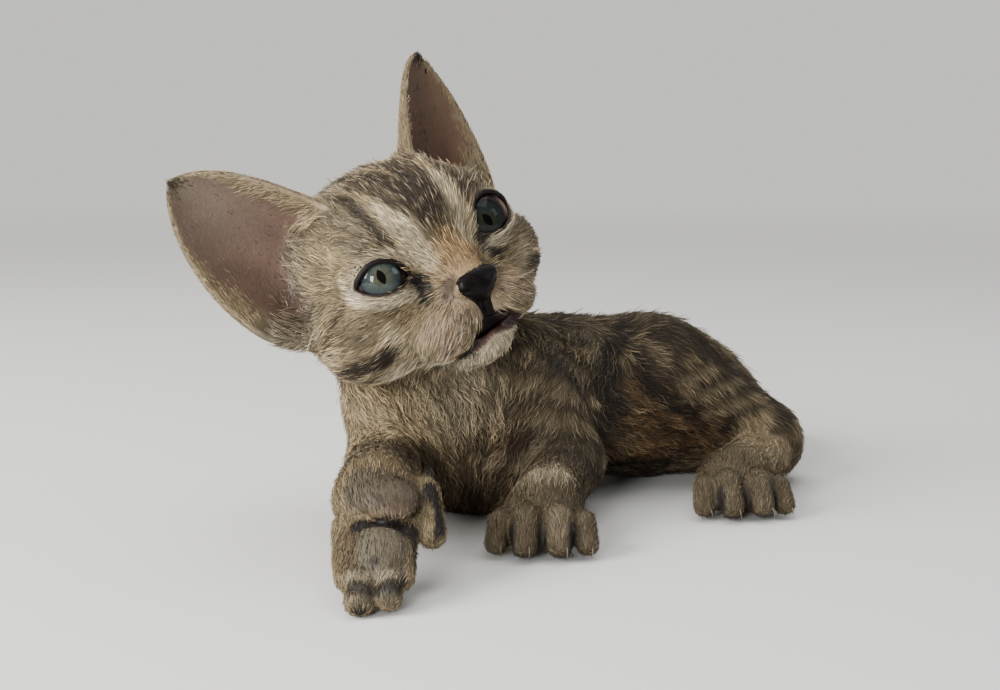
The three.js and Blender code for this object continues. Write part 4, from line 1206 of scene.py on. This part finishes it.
_, root_slope = slope_of(skin, roots)
root_normals = unit(root_slope)
root_shares = growth_shares(roots)
growth = root_shares @ GROWTH_TABLE
length, width, _, height, wave, wavelength, clump, pull, swirl = growth.T
q = to_head(roots)
ear_d, ear_u, ear_round, ear_hollow = ear_places(q)
fringe = fade(1.0, 3.0, ear_d) * ear_hollow * step_between(-0.45, -0.7, ear_round)
fringe = fringe * step_between(0.8, 0.5, ear_u) * step_between(-0.25, -0.05, ear_u)
length = length * (1 + FRINGE[0] * fringe)
height = height * (1 + FRINGE[1] * fringe)
wave = wave + 0.25 * fringe
long_coat = length > 3.6
length = length * dice.uniform(*SPREAD_OF_LENGTH, len(roots))
width = width * dice.uniform(*SPREAD_OF_WIDTH, len(roots)) / math.sqrt(SHARE)
height = height * dice.uniform(*SPREAD_OF_HEIGHT, len(roots))
stray = dice.random(len(roots)) < STRAYS
height = np.where(stray, height * 2.0, height)
lie = lie_of(roots, root_normals, swirl)
lock_share = shares_of(root_shares, LOCK_SHARES) @ np.array(list(LOCK_SHARES.values()))
locks = locks_of(roots) * lock_share
facing = shares_of(root_shares, ("face", "crown")).sum(1)
locks = locks + head_locks(roots) * facing * FACE_LOCKS
height = height * np.clip(1 + LOCK_HEIGHT * locks, 0.3, 2.0)
across = np.cross(root_normals, lie)
wide_clumps = (clump > 1.5)[:, None]
centres = np.where(wide_clumps, cell_centre(roots, WIDE_CLUMP, 41), cell_centre(roots, NARROW_CLUMP, 42))
gather = centres - roots
gather = gather - root_normals * dot(gather, root_normals)[:, None]
phase = noise(centres, 5.5, 51) * 1.1 + noise(centres, 1.5, 52) * 0.25
# tone by clump and tuft, with painted light on the locks' ridges and painted shade in their grooves
paleness = 1 + 0.18 * noise(centres, 1.1, 61) + dice.normal(0, 0.24, len(roots)) + LOCK_TONE_AND_LIGHT * locks
root_colour = coat_colour(roots, root_normals)
kind = dice.random(len(roots))
pale = np.where(kind < PALE_HAIRS[0], PALE_HAIRS[1], 0) * (root_shares[:, :HEAD_KINDS].sum(1) * 0.5 + 0.5)
pale = pale * hairiness(roots, root_normals) * (1 - toe_gap(roots))
root_colour = tinted(root_colour, CREAM * 0.9, pale)
root_colour = tinted(root_colour, BROWN, np.where(kind > 1 - DARK_HAIRS[0], DARK_HAIRS[1], 0))
root_colour = root_colour * np.clip(paleness, 0.3, 2.0)[:, None]
tip_shade = dice.choice(TIP_SHADES, len(roots), p=TIP_ODDS)


def tufts(name, chosen, rings):
    """One mesh of tapering three-sided tufts that lie along the skin."""
    n = len(chosen)
    spots = np.linspace(0, 1, rings + 1)
    lines = []
    for t in spots:
        run = length[chosen] * t
        bend = wave[chosen] * np.sin(2 * np.pi * (run / wavelength[chosen] + phase[chosen])) * min(1, t * 2.5)
        p = roots[chosen] + lie[chosen] * run[:, None] + across[chosen] * bend[:, None]
        p = p + gather[chosen] * (pull[chosen] * t**1.2)[:, None]
        rise = height[chosen] * (1.35 * t - 0.5 * t * t) - 0.12 * (1 - t)
        here, slope = slope_of(skin, p)
        move = (rise - here)[:, None] * slope / np.maximum(dot(slope, slope), 0.3)[:, None]
        size = np.linalg.norm(move, axis=1, keepdims=True)
        p = p + move * np.minimum(1, 2.5 / np.maximum(size, 1e-9))
        p[:, 2] = np.maximum(p[:, 2], 0.12)
        lines.append(p)
    points = []
    colours = []
    shade = np.interp(spots, SHADE_STOPS, SHADES)
    for i, p in enumerate(lines):
        way = unit(lines[min(i + 1, rings)] - lines[max(i - 1, 0)])
        sideways = unit(np.cross(way, root_normals[chosen]))
        up = np.cross(sideways, way)
        tint = root_colour[chosen] * (shade[i] * mix(1, tip_shade[chosen], spots[i] ** 2))[:, None]
        if i == rings:
            points.append(p[:, None])
            colours.append(tint[:, None])
            continue
        half = (width[chosen] * 0.5 * (1 - 0.45 * spots[i]))[:, None]
        ring = [p - sideways * half, p + sideways * half, p + up * half * 1.1]
        points.append(np.stack(ring, axis=1))
        colours.append(np.repeat(tint[:, None], 3, axis=1))
    points = np.concatenate(points, axis=1)
    colours = np.concatenate(colours, axis=1)
    corners_each = points.shape[1]
    pattern = [(2, 1, 0)]
    for ring in range(rings - 1):
        for k in range(3):
            a = ring * 3 + k
            b = ring * 3 + (k + 1) % 3
            pattern += [(a, b, b + 3), (a, b + 3, a + 3)]
    tip = corners_each - 1
    pattern += [((rings - 1) * 3 + k, (rings - 1) * 3 + (k + 1) % 3, tip) for k in range(3)]
    pattern = np.array(pattern)
    faces = (np.arange(n)[:, None, None] * corners_each + pattern[None]).reshape(-1, 3)
    piece = new_mesh(name, points.reshape(-1, 3), faces)
    paint(piece, colours.reshape(-1, 3))
    home = charts.place(roots[chosen][:, None], root_face[chosen])[:, 0]
    rows = np.minimum(np.arange(corners_each) // 3, rings)
    patch = np.stack([(np.arange(corners_each) % 3 - 1) * 0.0015, (rows / rings - 0.5) * 0.003], axis=1)
    uv = home[:, None] + patch[None]
    set_uv(piece, uv.reshape(-1, 2)[faces.reshape(-1)])
    return piece


COAT_LIMIT = 190000  # triangles to a piece
coat_pieces = []
on_head_side = root_shares[:, :HEAD_KINDS].sum(1) > 0.5
for label, chosen, rings in (
    ("short_head", np.flatnonzero(on_head_side & ~long_coat), 2),
    ("long_head", np.flatnonzero(on_head_side & long_coat), 3),
    ("short_body", np.flatnonzero(~on_head_side & ~long_coat), 2),
    ("long_body", np.flatnonzero(~on_head_side & long_coat), 3),
):
    each = 6 * (rings - 1) + 4
    pieces = max(1, math.ceil(len(chosen) * each / COAT_LIMIT))
    order = chosen[np.argsort(roots[chosen, 0], kind="stable")]
    for i, part in enumerate(np.array_split(order, pieces)):
        coat_pieces.append(tufts(f"coat_{label}_{i + 1}", part, rings))


# Materials
def put(target, **values):
    """Gives a node its settings and its inputs' values, or a link where the value is a node's output."""
    for key, value in values.items():
        name = key.replace("_", " ")
        if isinstance(value, bpy.types.NodeSocket):
            target.id_data.links.new(value, target.inputs[name])
        elif hasattr(target, key):
            setattr(target, key, value)
        else:
            target.inputs[name].default_value = value
    return target


def node(nodes, kind, **values):
    return put(nodes.new("ShaderNode" + kind), **values)


def new_material(name, **values):
    """A material, its nodes and its main shader with the given values."""
    material = bpy.data.materials.new(name)
    material.use_nodes = True
    nodes = material.node_tree.nodes
    return material, nodes, put(nodes["Principled BSDF"], **values)


def bump_of(nodes, height, strength, depth):
    """The shading of a slightly uneven surface."""
    return node(nodes, "Bump", Strength=strength, Distance=depth, Height=height).outputs["Normal"]


def coat_material(name, roughness, bump_size=0, bump_depth=0):
    """A material with the mesh's own colours, lightly speckled."""
    material, nodes, shader = new_material(name, Roughness=roughness, Specular_IOR_Level=0.3)
    colour = node(nodes, "VertexColor", layer_name="coat").outputs["Color"]
    place = node(nodes, "TexCoord").outputs["Object"]
    speckle = node(nodes, "TexNoise", Scale=900.0, Detail=2.0, Vector=place).outputs["Fac"]
    spread = node(nodes, "MapRange", To_Min=0.82, To_Max=1.18, Value=speckle).outputs["Result"]
    toned = node(nodes, "VectorMath", operation="SCALE", Vector=colour, Scale=spread)
    put(shader, Base_Color=toned.outputs["Vector"])
    if bump_depth:
        grain = node(nodes, "TexNoise", Scale=bump_size, Detail=3.0, Vector=place).outputs["Fac"]
        put(shader, Normal=bump_of(nodes, grain, 0.6, bump_depth))
    return material


fur_material = coat_material("fur", 0.62)
skin_material = coat_material("skin", 0.6, 1500.0, 0.0003)
skin_piece.data.materials.append(skin_material)
for piece in coat_pieces:
    piece.data.materials.append(fur_material)


# Eyes: a smooth ball with a slightly raised front, painted with iris and slit pupil
GAZES = {"right": ((-0.28, -0.92, 0.27), 2), "left": ((-0.165, -0.978, 0.118), 16)}
IRIS_RADIUS = 4.65
PUPIL_HALF = (0.9, 1.75)
PUPIL_DARK = np.array([0.002, 0.002, 0.002])
IRIS_STOPS = (0.2, 0.5, 0.82, 1.0)  # shares of the radius, with the tone at each
IRIS_TONES = np.array([
    [0.088, 0.086, 0.055],
    [0.058, 0.074, 0.062],
    [0.026, 0.044, 0.048],
    [0.005, 0.008, 0.009],
])
EYE_RINGS = ((0.004, 0.66, 110), (0.68, 1.5, 30), (1.6, 3.13, 12))  # angle from, angle to, how many
EYE_TURNS = 240
CORNEA = 0.28  # how far the front stands out
# painted shade: the left iris is drawn far darker than the right, as it lies in shade, and the right eye's
# white is near black
EYE_TONE_AND_SHADE = {"right": 0.66, "left": 0.22}
SCLERA_AND_SHADE = {"right": np.array([0.03, 0.019, 0.016]), "left": np.array([0.30, 0.20, 0.16])}


def eye_colour(side, u, v, outward):
    r = np.hypot(u, v)
    share = r / IRIS_RADIUS
    tone = np.stack([np.interp(share, IRIS_STOPS, IRIS_TONES[:, i]) for i in range(3)], axis=1)
    around = np.stack([u / np.maximum(r, 0.2), v / np.maximum(r, 0.2), share * 0.35], axis=1)
    fibres = noise(around, 0.07, 71) * 0.22 + noise(around, 0.2, 72) * 0.16 + noise(around, 0.6, 73) * 0.18
    tone = tone * (1 + fibres)[:, None] * EYE_TONE_AND_SHADE[side]
    limbus = step_between(0.97, 1.05, share)
    # painted shade: the white is near black except towards the eye's outer corner, standing for the lids'
    # shadow on the eye
    sclera_with_shade = mix(np.array([0.012, 0.008, 0.007]), SCLERA_AND_SHADE[side], step_between(0.5, 0.85, outward)[:, None])
    tone = mix(tone, sclera_with_shade, step_between(1.0, 1.07, share)[:, None])
    tone = mix(tone, PUPIL_DARK, ((1 - np.abs(share - 1.0) / 0.09).clip(0, 1) * 0.9 * (limbus < 1))[:, None])
    edge = PUPIL_HALF[0] * (1 - (v / PUPIL_HALF[1]) ** 2)
    slit = fade(-0.06, 0.06, np.abs(u) - edge)
    return mix(tone, PUPIL_DARK, slit[:, None])


def eye_ball(side):
    sign = 1 if side == "left" else -1
    gaze, lean = GAZES[side]
    gaze = unit(np.array(gaze))
    up = unit(np.array((math.sin(math.radians(-lean)), 0, math.cos(math.radians(lean)))))
    up = unit(up - gaze * (up @ gaze))
    right = np.cross(gaze, up)
    polar = np.concatenate([np.linspace(*stretch) for stretch in EYE_RINGS])
    turn = np.linspace(0, 2 * math.pi, EYE_TURNS, endpoint=False)
    polar, turn = np.meshgrid(polar, turn, indexing="ij")
    rise = CORNEA * fade(0.25, 0.66, polar)
    way = np.cos(polar)[..., None] * gaze
    way = way + np.sin(polar)[..., None] * (np.cos(turn)[..., None] * right + np.sin(turn)[..., None] * up)
    centre = np.array(EYE_AT) * (sign, 1, 1)
    points = centre + way * (EYE_RADIUS - 0.02 + rise)[..., None]
    u = (EYE_RADIUS * np.sin(polar) * np.cos(turn)).ravel()
    v = (EYE_RADIUS * np.sin(polar) * np.sin(turn)).ravel()
    behind = np.cos(polar).ravel() < 0
    outward = way[..., 0].ravel() * sign
    colours = eye_colour(side, np.where(behind, 9, u), v, outward)
    rows, around = polar.shape
    index = np.arange(rows * around).reshape(rows, around)
    a = index[:-1].ravel()
    b = np.roll(index, -1, 1)[:-1].ravel()
    c = np.roll(index, -1, 1)[1:].ravel()
    d = index[1:].ravel()
    faces = np.concatenate([np.stack([a, b, c], 1), np.stack([a, c, d], 1)])
    poles = np.stack([centre + gaze * (EYE_RADIUS + 0.26), centre - gaze * EYE_RADIUS])
    front = np.stack([index[0], np.full(around, rows * around), np.roll(index[0], -1)], 1)
    back = np.stack([np.roll(index[-1], -1), np.full(around, rows * around + 1), index[-1]], 1)
    points = np.concatenate([points.reshape(-1, 3), poles])
    colours = np.concatenate([colours, PUPIL_DARK[None], PUPIL_DARK[None]])
    piece = new_mesh(f"eye_{side}_ball", from_head(points), np.concatenate([faces, front, back]))
    paint(piece, colours)
    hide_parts(f"eye_{side}")
    return piece


def painted(name, roughness, coat=0.0, specular=0.05):
    """A material with the mesh's own colours."""
    material, nodes, shader = new_material(name, Roughness=roughness, Specular_IOR_Level=specular)
    colour = node(nodes, "VertexColor", layer_name="coat").outputs["Color"]
    put(shader, Base_Color=colour, Coat_Weight=coat, Coat_Roughness=0.03)
    return material


for side, wetness in (("left", 0.25), ("right", 0.65)):
    eye_ball(side).data.materials.append(painted(f"wet_eye_{side}", 0.3, wetness, 0.0))


# Tubes: closed or open lines with an oval section, given widths across and heights along `up`
def tubes(name, lines, across, up, widths, heights, colours, sides=8, closed=False):
    """lines, across and up: (lines, points, 3); widths and heights: (lines, points)."""
    count, long, _ = lines.shape
    angle = np.linspace(0, 2 * math.pi, sides, endpoint=False)
    ring = np.cos(angle)[:, None] * (across * widths[..., None])[:, :, None]
    ring = ring + np.sin(angle)[:, None] * (up * heights[..., None])[:, :, None]
    points = lines[:, :, None] + ring
    index = np.arange(count * long * sides).reshape(count, long, sides)
    step = np.roll(index, -1, 1) if closed else index[:, 1:]
    here = index if closed else index[:, :-1]
    faces = np.stack([here, np.roll(here, -1, 2), np.roll(step, -1, 2), step], axis=-1).reshape(-1, 4)
    faces = np.concatenate([faces[:, [0, 1, 2]], faces[:, [0, 2, 3]]])
    if not closed:
        fan = np.array([(0, i, i + 1) for i in range(1, sides - 1)])
        start = index[:, 0][:, fan[:, ::-1]].reshape(-1, 3)
        end = index[:, -1][:, fan].reshape(-1, 3)
        faces = np.concatenate([faces, start, end])
    piece = new_mesh(name, points.reshape(-1, 3), faces[:, ::-1])
    paint(piece, np.repeat(colours.reshape(-1, 3), sides, axis=0))
    return piece


RIM_COUNT = 144
# the lid margins' own dark colour, darkest on the upper lid as painted shade
RIM_DARK_AND_SHADE = np.array([0.008, 0.005, 0.005])
RIM_WARM = np.array([0.035, 0.02, 0.018])


def lid_rim(side):
    axes, (top, bottom) = LID_SHAPES[side]
    loop = np.concatenate([top, bottom[::-1][1:-1]])
    ends = np.concatenate([loop, loop[:1]])
    run = np.concatenate([[0], np.cumsum(np.linalg.norm(np.diff(ends, axis=0), axis=1))])
    even = np.linspace(0, run[-1], RIM_COUNT, endpoint=False)
    x, y = (np.interp(even, run, ends[:, i]) for i in range(2))
    for _ in range(4):
        x, y = ((np.roll(v, 1) + 2 * v + np.roll(v, -1)) / 4 for v in (x, y))
    flow = np.stack([np.roll(x, -1) - np.roll(x, 1), np.roll(y, -1) - np.roll(y, 1)], axis=1)
    flow = unit(flow)
    outward = np.stack([-flow[:, 1], flow[:, 0]], axis=1)
    upper = step_between(-0.8, 1.4, y)
    shift = mix(0.02, 0.34, upper)
    x, y = x + outward[:, 0] * shift, y + outward[:, 1] * shift
    radius = mix(8.12, 8.36, upper)
    z = np.sqrt(radius**2 - x**2 - y**2)
    local = np.stack([x, y, z], axis=1) @ axes.T
    up = unit(local)
    wide = np.stack([outward[:, 0], outward[:, 1], np.zeros(len(x))], axis=1) @ axes.T
    wide = unit(wide - up * dot(wide, up)[:, None])
    sign = np.array((1 if side == "left" else -1, 1, 1))
    line = (local + EYE_AT) * sign
    # darker and thicker on the upper lid: dark lid skin with painted shade over the eye; the left eye's extra
    # width at its upper inner corner is painted shade
    colours = mix(mix(RIM_WARM, RIM_DARK_AND_SHADE, 0.35), RIM_DARK_AND_SHADE, upper[:, None])
    thick = mix(0.24, 0.62, upper)
    if side == "left":
        thick = thick + 0.5 * step_between(3, -3, x) * step_between(-2.5, 0, y)
    piece = tubes(
        f"lid_rim_{side}",
        from_head(line)[None],
        ((wide * sign) @ HEAD_MATRIX.T)[None],
        ((up * sign) @ HEAD_MATRIX.T)[None],
        thick[None],
        mix(0.36, 0.52, upper)[None],
        colours[None],
        sides=12,
        closed=True,
    )
    return piece


rim_material = painted("lid_rim", 0.45, 0.0, 0.12)
for side in ("left", "right"):
    lid_rim(side).data.materials.append(rim_material)


# Hairs that stand alone, and claws
def on_face_at(x, z):
    """Points of the face's skin in front of the given places, in the head's axes."""
    q = np.stack([x, np.full(len(x), -36.0), z], axis=1)
    for _ in range(60):
        q[:, 1] += np.maximum(face(q) + HEAD_INSET, 0) * 0.7
    return q


def lone_hairs(name, roots_at, ways, lengths, radius, colour, curl, seed):
    """Curving tapered hairs, with roots and directions in the head's axes."""
    luck = np.random.default_rng(seed)
    n = len(roots_at)
    t = np.linspace(0, 1, 12)
    ways = unit(ways)
    aside = unit(np.cross(ways, luck.normal(size=(n, 3))))
    other = np.cross(ways, aside)
    bend = luck.uniform(0.5, 1.2, n) * curl
    spin = luck.uniform(0, 2 * math.pi, n)
    swing = np.sin(t[None] * 3.3 + spin[:, None]) - np.sin(spin)[:, None]
    line = roots_at[:, None] + ways[:, None] * (lengths[:, None] * t)[..., None]
    line = line + aside[:, None] * (bend[:, None] * swing)[..., None]
    line = line + other[:, None] * (bend[:, None] * t**2 * 1.3)[..., None]
    radii = radius * (1 - 0.8 * t)[None].repeat(n, 0)
    piece = tubes(
        name,
        from_head(line),
        (aside @ HEAD_MATRIX.T)[:, None].repeat(12, 1),
        (other @ HEAD_MATRIX.T)[:, None].repeat(12, 1),
        radii,
        radii,
        np.tile(colour, (n, 12, 1)),
        sides=5,
    )
    piece.data.materials.append(fur_material)
    return piece


luck = np.random.default_rng(23)
spots = np.array([(x + luck.uniform(-0.3, 0.3), z + luck.uniform(-0.3, 0.3)) for x, z in PAD_DOTS])
spots = np.concatenate([spots[::2], spots[1::2] * (-1, 1)])
spots = spots[np.abs(spots[:, 0]) > 6.5]
whisker_roots = on_face_at(spots[:, 0], spots[:, 1])
outward = np.sign(spots[:, 0])
forward = luck.uniform(-0.5, 0.1, len(spots))
upward = luck.uniform(-0.5, 0.1, len(spots))
whisker_ways = np.stack([outward * 1.0, forward, upward], 1)
whisker_lengths = luck.uniform(4, 9, len(spots))
lone_hairs("whiskers", whisker_roots, whisker_ways, whisker_lengths, 0.04, CHALK * 0.8, 0.7, 24)
brow_x = np.array([11.5, 13.5, 16, 18.5, 12.5, 17])
brow_z = np.array([9.5, 10.5, 10.2, 9.0, 12, 12])
brow_roots = on_face_at(np.concatenate([brow_x, -brow_x]), np.tile(brow_z, 2))
brow_ways = np.stack([np.sign(brow_roots[:, 0]) * 0.6, np.full(12, -0.55), luck.uniform(0.5, 1.0, 12)], 1)
lone_hairs("brow_hairs", brow_roots, brow_ways, luck.uniform(1.8, 3.6, 12), 0.045, CHALK, 0.5, 25)
tip_count = 16
tips = np.repeat(np.array([EAR_TIP, EAR_TIP * (-1, 1, 1)]), tip_count, axis=0)
tip_axis = np.repeat(np.array([EAR_AXIS, EAR_AXIS * (-1, 1, 1)]), tip_count, axis=0)
spread = luck.normal(size=tips.shape) * 0.28
tip_roots = tips - tip_axis * luck.uniform(0.4, 2.0, len(tips))[:, None] + spread
tip_lengths = luck.uniform(1.0, 2.4, len(tips))
lone_hairs("ear_tip_hairs", tip_roots, tip_axis + spread, tip_lengths, 0.06, BROWN, 0.25, 26)
wisp_count = 60
WISP_PLACES = np.array([(21.0, 11.4, 4.3), (21.2, 13.7, 2.7), (23.0, 14.2, 1.0)])
wisp_roots = WISP_PLACES[luck.integers(0, len(WISP_PLACES), wisp_count)]
wisp_roots = wisp_roots + luck.normal(size=(wisp_count, 3)) * (0.7, 0.5, 1.0)
wisp_ways = np.array((0.5, -0.45, 0.7)) + luck.normal(size=(wisp_count, 3)) * 0.22
wisp_sides = np.where(np.arange(wisp_count) % 3 == 0, 1, -1)[:, None]
mirror = np.concatenate([wisp_sides, np.ones((wisp_count, 2))], axis=1)
wisp_lengths = luck.uniform(2.2, 4.6, wisp_count)
lone_hairs("ear_wisps", wisp_roots * mirror, wisp_ways * mirror, wisp_lengths, 0.055, CHALK, 0.6, 27)

CLAW_LINE = np.array([(0, -0.4, 1.0), (0, -0.7, 0.98), (0, -0.95, 0.82), (0, -1.12, 0.58), (0, -1.17, 0.36)])
CLAW_RADII = np.array([0.30, 0.26, 0.19, 0.11, 0.03])
CLAW_TONE = np.array([0.13, 0.105, 0.078])
claw_lines = []
claw_sides = []
claw_ups = []
for (turn, at), width, reach in ((LEFT_PAW, 25.6, 12.4), (LEFT_HIND, 25.4, 12.6), (RIGHT_HIND, 17, 12)):
    for place, size, forward in TOES:
        r = size * width
        tip = np.array((place * width + 0.35 * r, r - reach * forward, 0))
        claw_lines.append((tip + CLAW_LINE * r) @ turn.T + at)
        claw_sides.append(np.tile(turn @ np.array((1.0, 0, 0)), (5, 1)))
        claw_ups.append(np.tile(turn @ unit(np.array((0, 0.6, 1.0))), (5, 1)))
claws = tubes(
    "claws",
    np.array(claw_lines),
    np.array(claw_sides),
    np.array(claw_ups),
    np.tile(CLAW_RADII * 0.7, (len(claw_lines), 1)),
    np.tile(CLAW_RADII, (len(claw_lines), 1)),
    np.tile(CLAW_TONE, (len(claw_lines), 5, 1)),
    sides=8,
)
claws.data.materials.append(painted("claw", 0.3, 0.0, 0.4))


# Nose leather, and the inside of the mouth drawn near black as painted shade
def nose_shape(q):
    return -blend(-face(q), -nose_leather(q), 1.0)


def mouth_inside_painted_shade(q):
    return np.maximum(mouth(q) - 0.15, skull(q) + 1.1)


NOSE_GRID = (graded((-7, 7, 0.2)), graded((-35, -24, 0.2)), graded((-18, -2.4, 0.2)))
GAPE_GRID = (graded((-17, 17, 0.3)), graded((-32, -15, 0.3)), graded((-23.5, -13, 0.3)))
nose_points, nose_faces = surface(nose_shape, *NOSE_GRID)
nose_points = settled(nose_shape, nose_points, 2, 0.15)
nose_piece = new_mesh("nose_leather", from_head(nose_points), nose_faces)
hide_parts("nose")
leather, nodes, shader = new_material("nose_leather", Roughness=0.3, Specular_IOR_Level=0.08)
place = node(nodes, "TexCoord").outputs["Object"]
cells = node(nodes, "TexVoronoi", Scale=2600.0, Vector=place).outputs["Distance"]
put(shader, Base_Color=(0.004, 0.003, 0.003, 1), Normal=bump_of(nodes, cells, 0.5, 0.0001))
nose_piece.data.materials.append(leather)

gape_points, gape_faces = surface(mouth_inside_painted_shade, *GAPE_GRID)
gape_piece = new_mesh("mouth_inside_painted_shade", from_head(gape_points), gape_faces)
# painted shade: the inside of the mouth is near black
mouth_shade_material, _, _ = new_material("mouth_inside_painted_shade", Base_Color=(0.006, 0.001, 0.001, 1), Roughness=0.5)
gape_piece.data.materials.append(mouth_shade_material)

# Stage, light and camera
bpy.ops.mesh.primitive_circle_add(vertices=96, radius=2.2, fill_type="NGON", location=(0, 0, 0))
floor = bpy.context.object
floor.name = "floor"
floor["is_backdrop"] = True
WORLD_TINT = (0.60, 0.592, 0.56, 1)
WORLD_DIM = 0.32  # behind the viewer
WORLD_BRIGHT = 1.36  # behind the kitten


def world_strength(nodes, way):
    """How bright the world is in a direction."""
    y = node(nodes, "SeparateXYZ", Vector=way).outputs["Y"]
    ends = {"From_Min": -0.3, "From_Max": 0.55, "To_Min": WORLD_DIM, "To_Max": WORLD_BRIGHT}
    rise = node(nodes, "MapRange", interpolation_type="SMOOTHSTEP", Value=y, **ends)
    return rise.outputs["Result"]


# The floor passes into the tone of what is behind it, so that no edge shows
floor_material, nodes, shader = new_material("floor", Base_Color=(0.64, 0.64, 0.63, 1), Roughness=0.95)
place = node(nodes, "TexCoord").outputs["Object"]
ahead = node(nodes, "VectorMath", operation="NORMALIZE", Vector=place).outputs["Vector"]
glow = node(nodes, "Emission", Color=WORLD_TINT, Strength=world_strength(nodes, ahead))
away = node(nodes, "VectorMath", operation="LENGTH", Vector=place).outputs["Value"]
reach = node(nodes, "MapRange", interpolation_type="SMOOTHSTEP", From_Min=0.22, From_Max=1.5, Value=away)
both = node(nodes, "MixShader", Fac=reach.outputs["Result"])
for i, part in enumerate((shader.outputs["BSDF"], glow.outputs["Emission"]), start=1):
    both.id_data.links.new(part, both.inputs[i])
put(nodes["Material Output"], Surface=both.outputs["Shader"])
floor.data.materials.append(floor_material)


LIGHTS = [
    # name, place, what it is turned to, size, watts, tint
    ("window", (-0.78, -0.42, 0.48), (0, 0, 0.05), (0.55, 0.55), 20, (1.0, 0.98, 0.95)),
    ("ceiling", (0, 0.1, 1.3), (0, 0, 0), (1.2, 1.2), 12, (1.0, 0.99, 0.97)),
    ("right_window", (0.56, -0.07, 0.41), (0, 0, 0.06), (0.25, 0.25), 0.6, (0.92, 0.94, 1.0)),
]
for i in range(3):  # the panes that show in the right eye
    at = (-0.24 + 0.055 * i, -0.55, 0.169)
    LIGHTS.append((f"pane_{i + 1}", at, (-0.03, -0.03, 0.06), (0.044, 0.18), 0.95, (1, 1, 1)))


def add_light(name, at, target, size, watts, tint):
    data = bpy.data.lights.new(name, "AREA")
    data.shape = "RECTANGLE"
    data.size, data.size_y = size
    data.energy = watts
    data.color = tint
    light = bpy.data.objects.new(name, data)
    light.location = at
    light.rotation_euler = (Vector(target) - Vector(at)).to_track_quat("-Z", "Y").to_euler()
    bpy.context.scene.collection.objects.link(light)


for light in LIGHTS:
    add_light(*light)
world = bpy.data.worlds.new("studio")
world.use_nodes = True
nodes = world.node_tree.nodes
way = node(nodes, "TexCoord").outputs["Generated"]
put(nodes["Background"], Color=WORLD_TINT, Strength=world_strength(nodes, way))
bpy.context.scene.world = world

# The photo's own view
CAMERA_AT = (-0.0041, -0.348, 0.092)
CAMERA_DOWN = 8.5  # degrees below level
camera_data = bpy.data.cameras.new("camera")
camera_data.lens = 52
camera_data.sensor_width = 36
camera_data.clip_start = 0.01
camera = bpy.data.objects.new("camera", camera_data)
camera.location = CAMERA_AT
camera.rotation_euler = Euler((math.radians(90 - CAMERA_DOWN), 0, 0))
bpy.context.scene.collection.objects.link(camera)
bpy.context.scene.camera = camera

shown_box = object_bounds()
boxes = {"cad": cad_box, "visual": shown_box}
{name: [list(corner) for corner in box] for name, box in boxes.items()}
